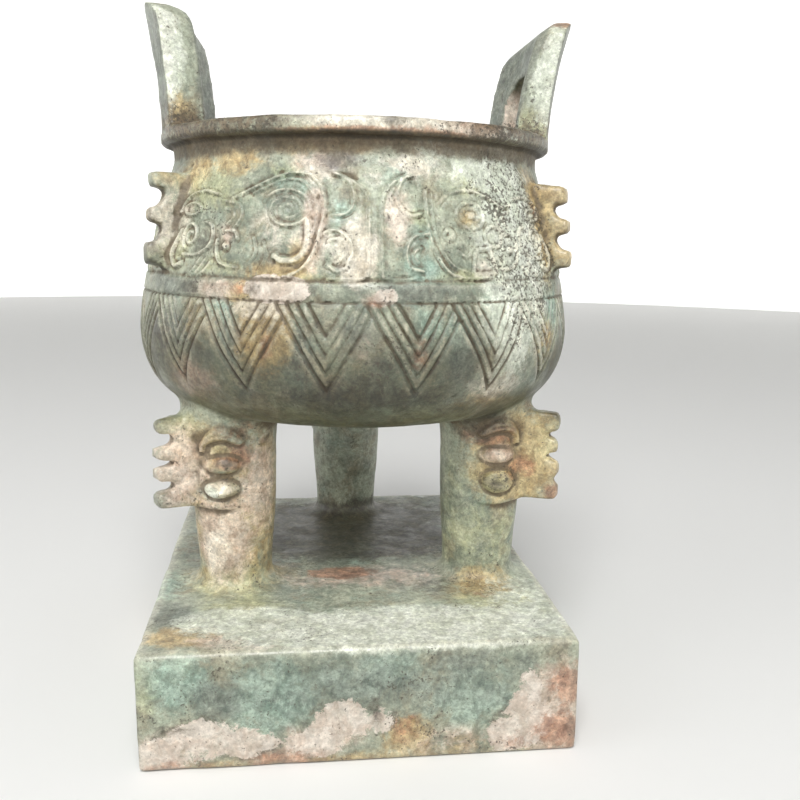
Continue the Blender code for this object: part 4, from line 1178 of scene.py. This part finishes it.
# Crests are paler, partly from rubbing and partly as a painted highlight, and brown earth stays in the cuts
# and in the rim's grain.
share = node(tree, EASE, (amount["crest"], 0.15, 0.8, 0, 0.6), **SMOOTH)
colour = node(tree, MIX, {0: share, 6: colour, 7: CREST}, **COLOUR)
share = node(tree, EASE, (noise["middling"], 0.35, 0.6, 0.4, 1.0), **SMOOTH)
share = node(tree, SUM, (amount["hollow"], share), **TIMES)
share = node(tree, EASE, (share, 0.05, 0.7, 0, 0.85), **SMOOTH)
colour = node(tree, MIX, {0: share, 6: colour, 7: EARTH}, **COLOUR)
share = node(tree, EASE, (noise["rim grain"], 0.42, 0.54, 0, 0.75), **SMOOTH)
share = node(tree, SUM, (amount["grain"], share), **TIMES)
colour = node(tree, MIX, {0: share, 6: colour, 7: RIM_EARTH}, **COLOUR)

# A mottle, a grain and flecks of light and dark, then the painted shade on down-turned faces and the brown
# darkening down the bowl.
grain, mottle, flecks = (node(tree, EASE, (noise[name], *row)) for name, row in LIGHT_AND_DARK.items())
grain = node(tree, SUM, (grain, mottle), **TIMES)
grain = node(tree, SUM, (grain, flecks), **TIMES)
gritty = node(tree, SUM, (waxy, -0.45, 1.0), **TIMES_PLUS)
colour = node(tree, MIX, {0: gritty, 6: colour, 7: grain}, blend_type="MULTIPLY", **COLOUR)
share = node(tree, EASE, (noise["middling"], 0.3, 0.6, 0.75, 1.0), **SMOOTH)
share = node(tree, SUM, (amount["shade_and_darkening_below"], share), **TIMES)
colour = node(tree, MIX, {0: share, 6: colour, 7: SHADE_AND_DARKENING_TINT}, blend_type="MULTIPLY", **COLOUR)

# Dark specks and pits from burial, thickest in the crust and on the rim.
pepper = node(tree, EASE, (noise["pepper"], 0.5, 0.66, 0, 0.11), **SMOOTH)
for mark, more in (("pepper", 0.13), ("grain", 0.12)):
    pepper = node(tree, SUM, (amount[mark], more, pepper), **TIMES_PLUS)
speck = node(tree, SUM, (noise["specks"], pepper), operation="ADD")
speck = node(tree, EASE, (speck, 0.65, 0.72, 0, 0.8), **SMOOTH)
colour = node(tree, MIX, {0: speck, 6: colour, 7: SPECK}, **COLOUR)

# Satin where it was rubbed, dull in the crust and the cuts, with a fine grit under the hand.
rough = node(tree, EASE, (noise["middling"], 0.35, 0.65, 0.36, 0.56), **SMOOTH)
for mark, more in (("pepper", 0.25), ("hollow", 0.2), ("crest", -0.2)):
    rough = node(tree, SUM, (amount[mark], more, rough), **TIMES_PLUS)
height = node(tree, SUM, (noise["low grit"], 0.8), **TIMES)
for bump, rise in ((noise["flecks"], 0.4), (speck, -0.5)):
    height = node(tree, SUM, (bump, rise, height), **TIMES_PLUS)
skin = node(tree, "ShaderNodeBump", {"Height": height, "Strength": 0.5, "Distance": 0.35 * MM})
finish = {"Base Color": colour, "Roughness": rough, "Normal": skin, "IOR": 1.6}
shader = node(tree, "ShaderNodeBsdfPrincipled", finish)
node(tree, "ShaderNodeOutputMaterial", {"Surface": shader})

# Carved in millimetres, the stone goes to metres here.
stone.data.transform(Matrix.Scale(MM, 4))
stone.data.update()
stone.data.materials.clear()
stone.data.materials.append(jade)
bpy.ops.object.select_all(action="DESELECT")
stone.select_set(True)
bpy.context.view_layer.objects.active = stone
bpy.ops.object.shade_smooth()
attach(stone, "root")
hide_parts("jade_ding")

# The floor: a plain white sheet that the block stands on.
FLOOR_SIZE = 5.0
bpy.ops.object.select_all(action="DESELECT")
bpy.ops.mesh.primitive_plane_add(size=FLOOR_SIZE, location=(0, 0, 0))
floor = bpy.context.object
floor.name = "studio_floor"
paper = bpy.data.materials.new("matt white paper")
paper.use_nodes = True
matt = paper.node_tree.nodes["Principled BSDF"]
matt.inputs["Base Color"].default_value = linear("#ededeb")
matt.inputs["Roughness"].default_value = 0.9
floor.data.materials.append(paper)

# The wall: a round white screen about the stone, glowing a little so that it stays plain.
WALL_RADIUS = 1.8
WALL_HEIGHT = 1.2
WALL_GLOW = 0.5
bpy.ops.object.select_all(action="DESELECT")
place = (0, 0, WALL_HEIGHT / 2)
bpy.ops.mesh.primitive_cylinder_add(
    vertices=96, radius=WALL_RADIUS, depth=WALL_HEIGHT, end_fill_type="NOTHING", location=place
)
screen = bpy.context.object
screen.name = "studio_screen"
edit_all()
bpy.ops.mesh.flip_normals()
bpy.ops.object.mode_set(mode="OBJECT")
bpy.ops.object.transform_apply(location=True, rotation=True, scale=True)
glowing = bpy.data.materials.new("lit white screen")
glowing.use_nodes = True
glow = glowing.node_tree.nodes["Principled BSDF"]
glow.inputs["Base Color"].default_value = linear("#f7f7f5")
glow.inputs["Emission Color"].default_value = (1, 1, 1, 1)
glow.inputs["Emission Strength"].default_value = WALL_GLOW
screen.data.materials.append(glowing)

# The light: a soft lamp high in front, and a weak one from the left.
LIT_POINT = Vector((0, 0, 0.1))
ROOM_GLOW = 0.08
LIGHTS = (
    ("ceiling light", (-0.1, -0.69, 1.0), 0.5, 11.2),
    ("left fill", (-0.9, -0.3, 0.9), 0.6, 1.5),
)
for name, spot, size, power in LIGHTS:
    lamp = bpy.data.lights.new(name, "AREA")
    lamp.size = size
    lamp.energy = power
    held = bpy.data.objects.new(name, lamp)
    held.location = spot
    held.rotation_euler = (LIT_POINT - Vector(spot)).to_track_quat("-Z", "Y").to_euler()
    bpy.context.scene.collection.objects.link(held)
world = bpy.data.worlds.new("dim room")
world.use_nodes = True
dim = world.node_tree.nodes["Background"]
dim.inputs["Color"].default_value = (1, 1, 1, 1)
dim.inputs["Strength"].default_value = ROOM_GLOW
bpy.context.scene.world = world
bpy.context.scene.view_settings.view_transform = "Standard"

# The camera: a phone held a little above the rim, left of the middle and turned right.
LENS = 39.41
EYE_POINT = Vector((-0.01922, -0.28678, 0.14120))
TURN, PITCH, ROLL = math.radians(7.25), math.radians(10.53), math.radians(1.03)

level = Vector((math.sin(TURN), math.cos(TURN), 0))
right = Vector((math.cos(TURN), -math.sin(TURN), 0))
look = level * math.cos(PITCH) - Vector((0, 0, math.sin(PITCH)))
up = right.cross(look)
across = right * math.cos(ROLL) + up * math.sin(ROLL)
upright = up * math.cos(ROLL) - right * math.sin(ROLL)
turn = Matrix((across, upright, -look)).transposed()
camera = bpy.data.cameras.new("phone camera")
camera.lens = LENS
camera.clip_start = 0.01
phone = bpy.data.objects.new("phone camera", camera)
phone.matrix_world = Matrix.Translation(EYE_POINT) @ turn.to_4x4()
bpy.context.scene.collection.objects.link(phone)
bpy.context.scene.camera = phone
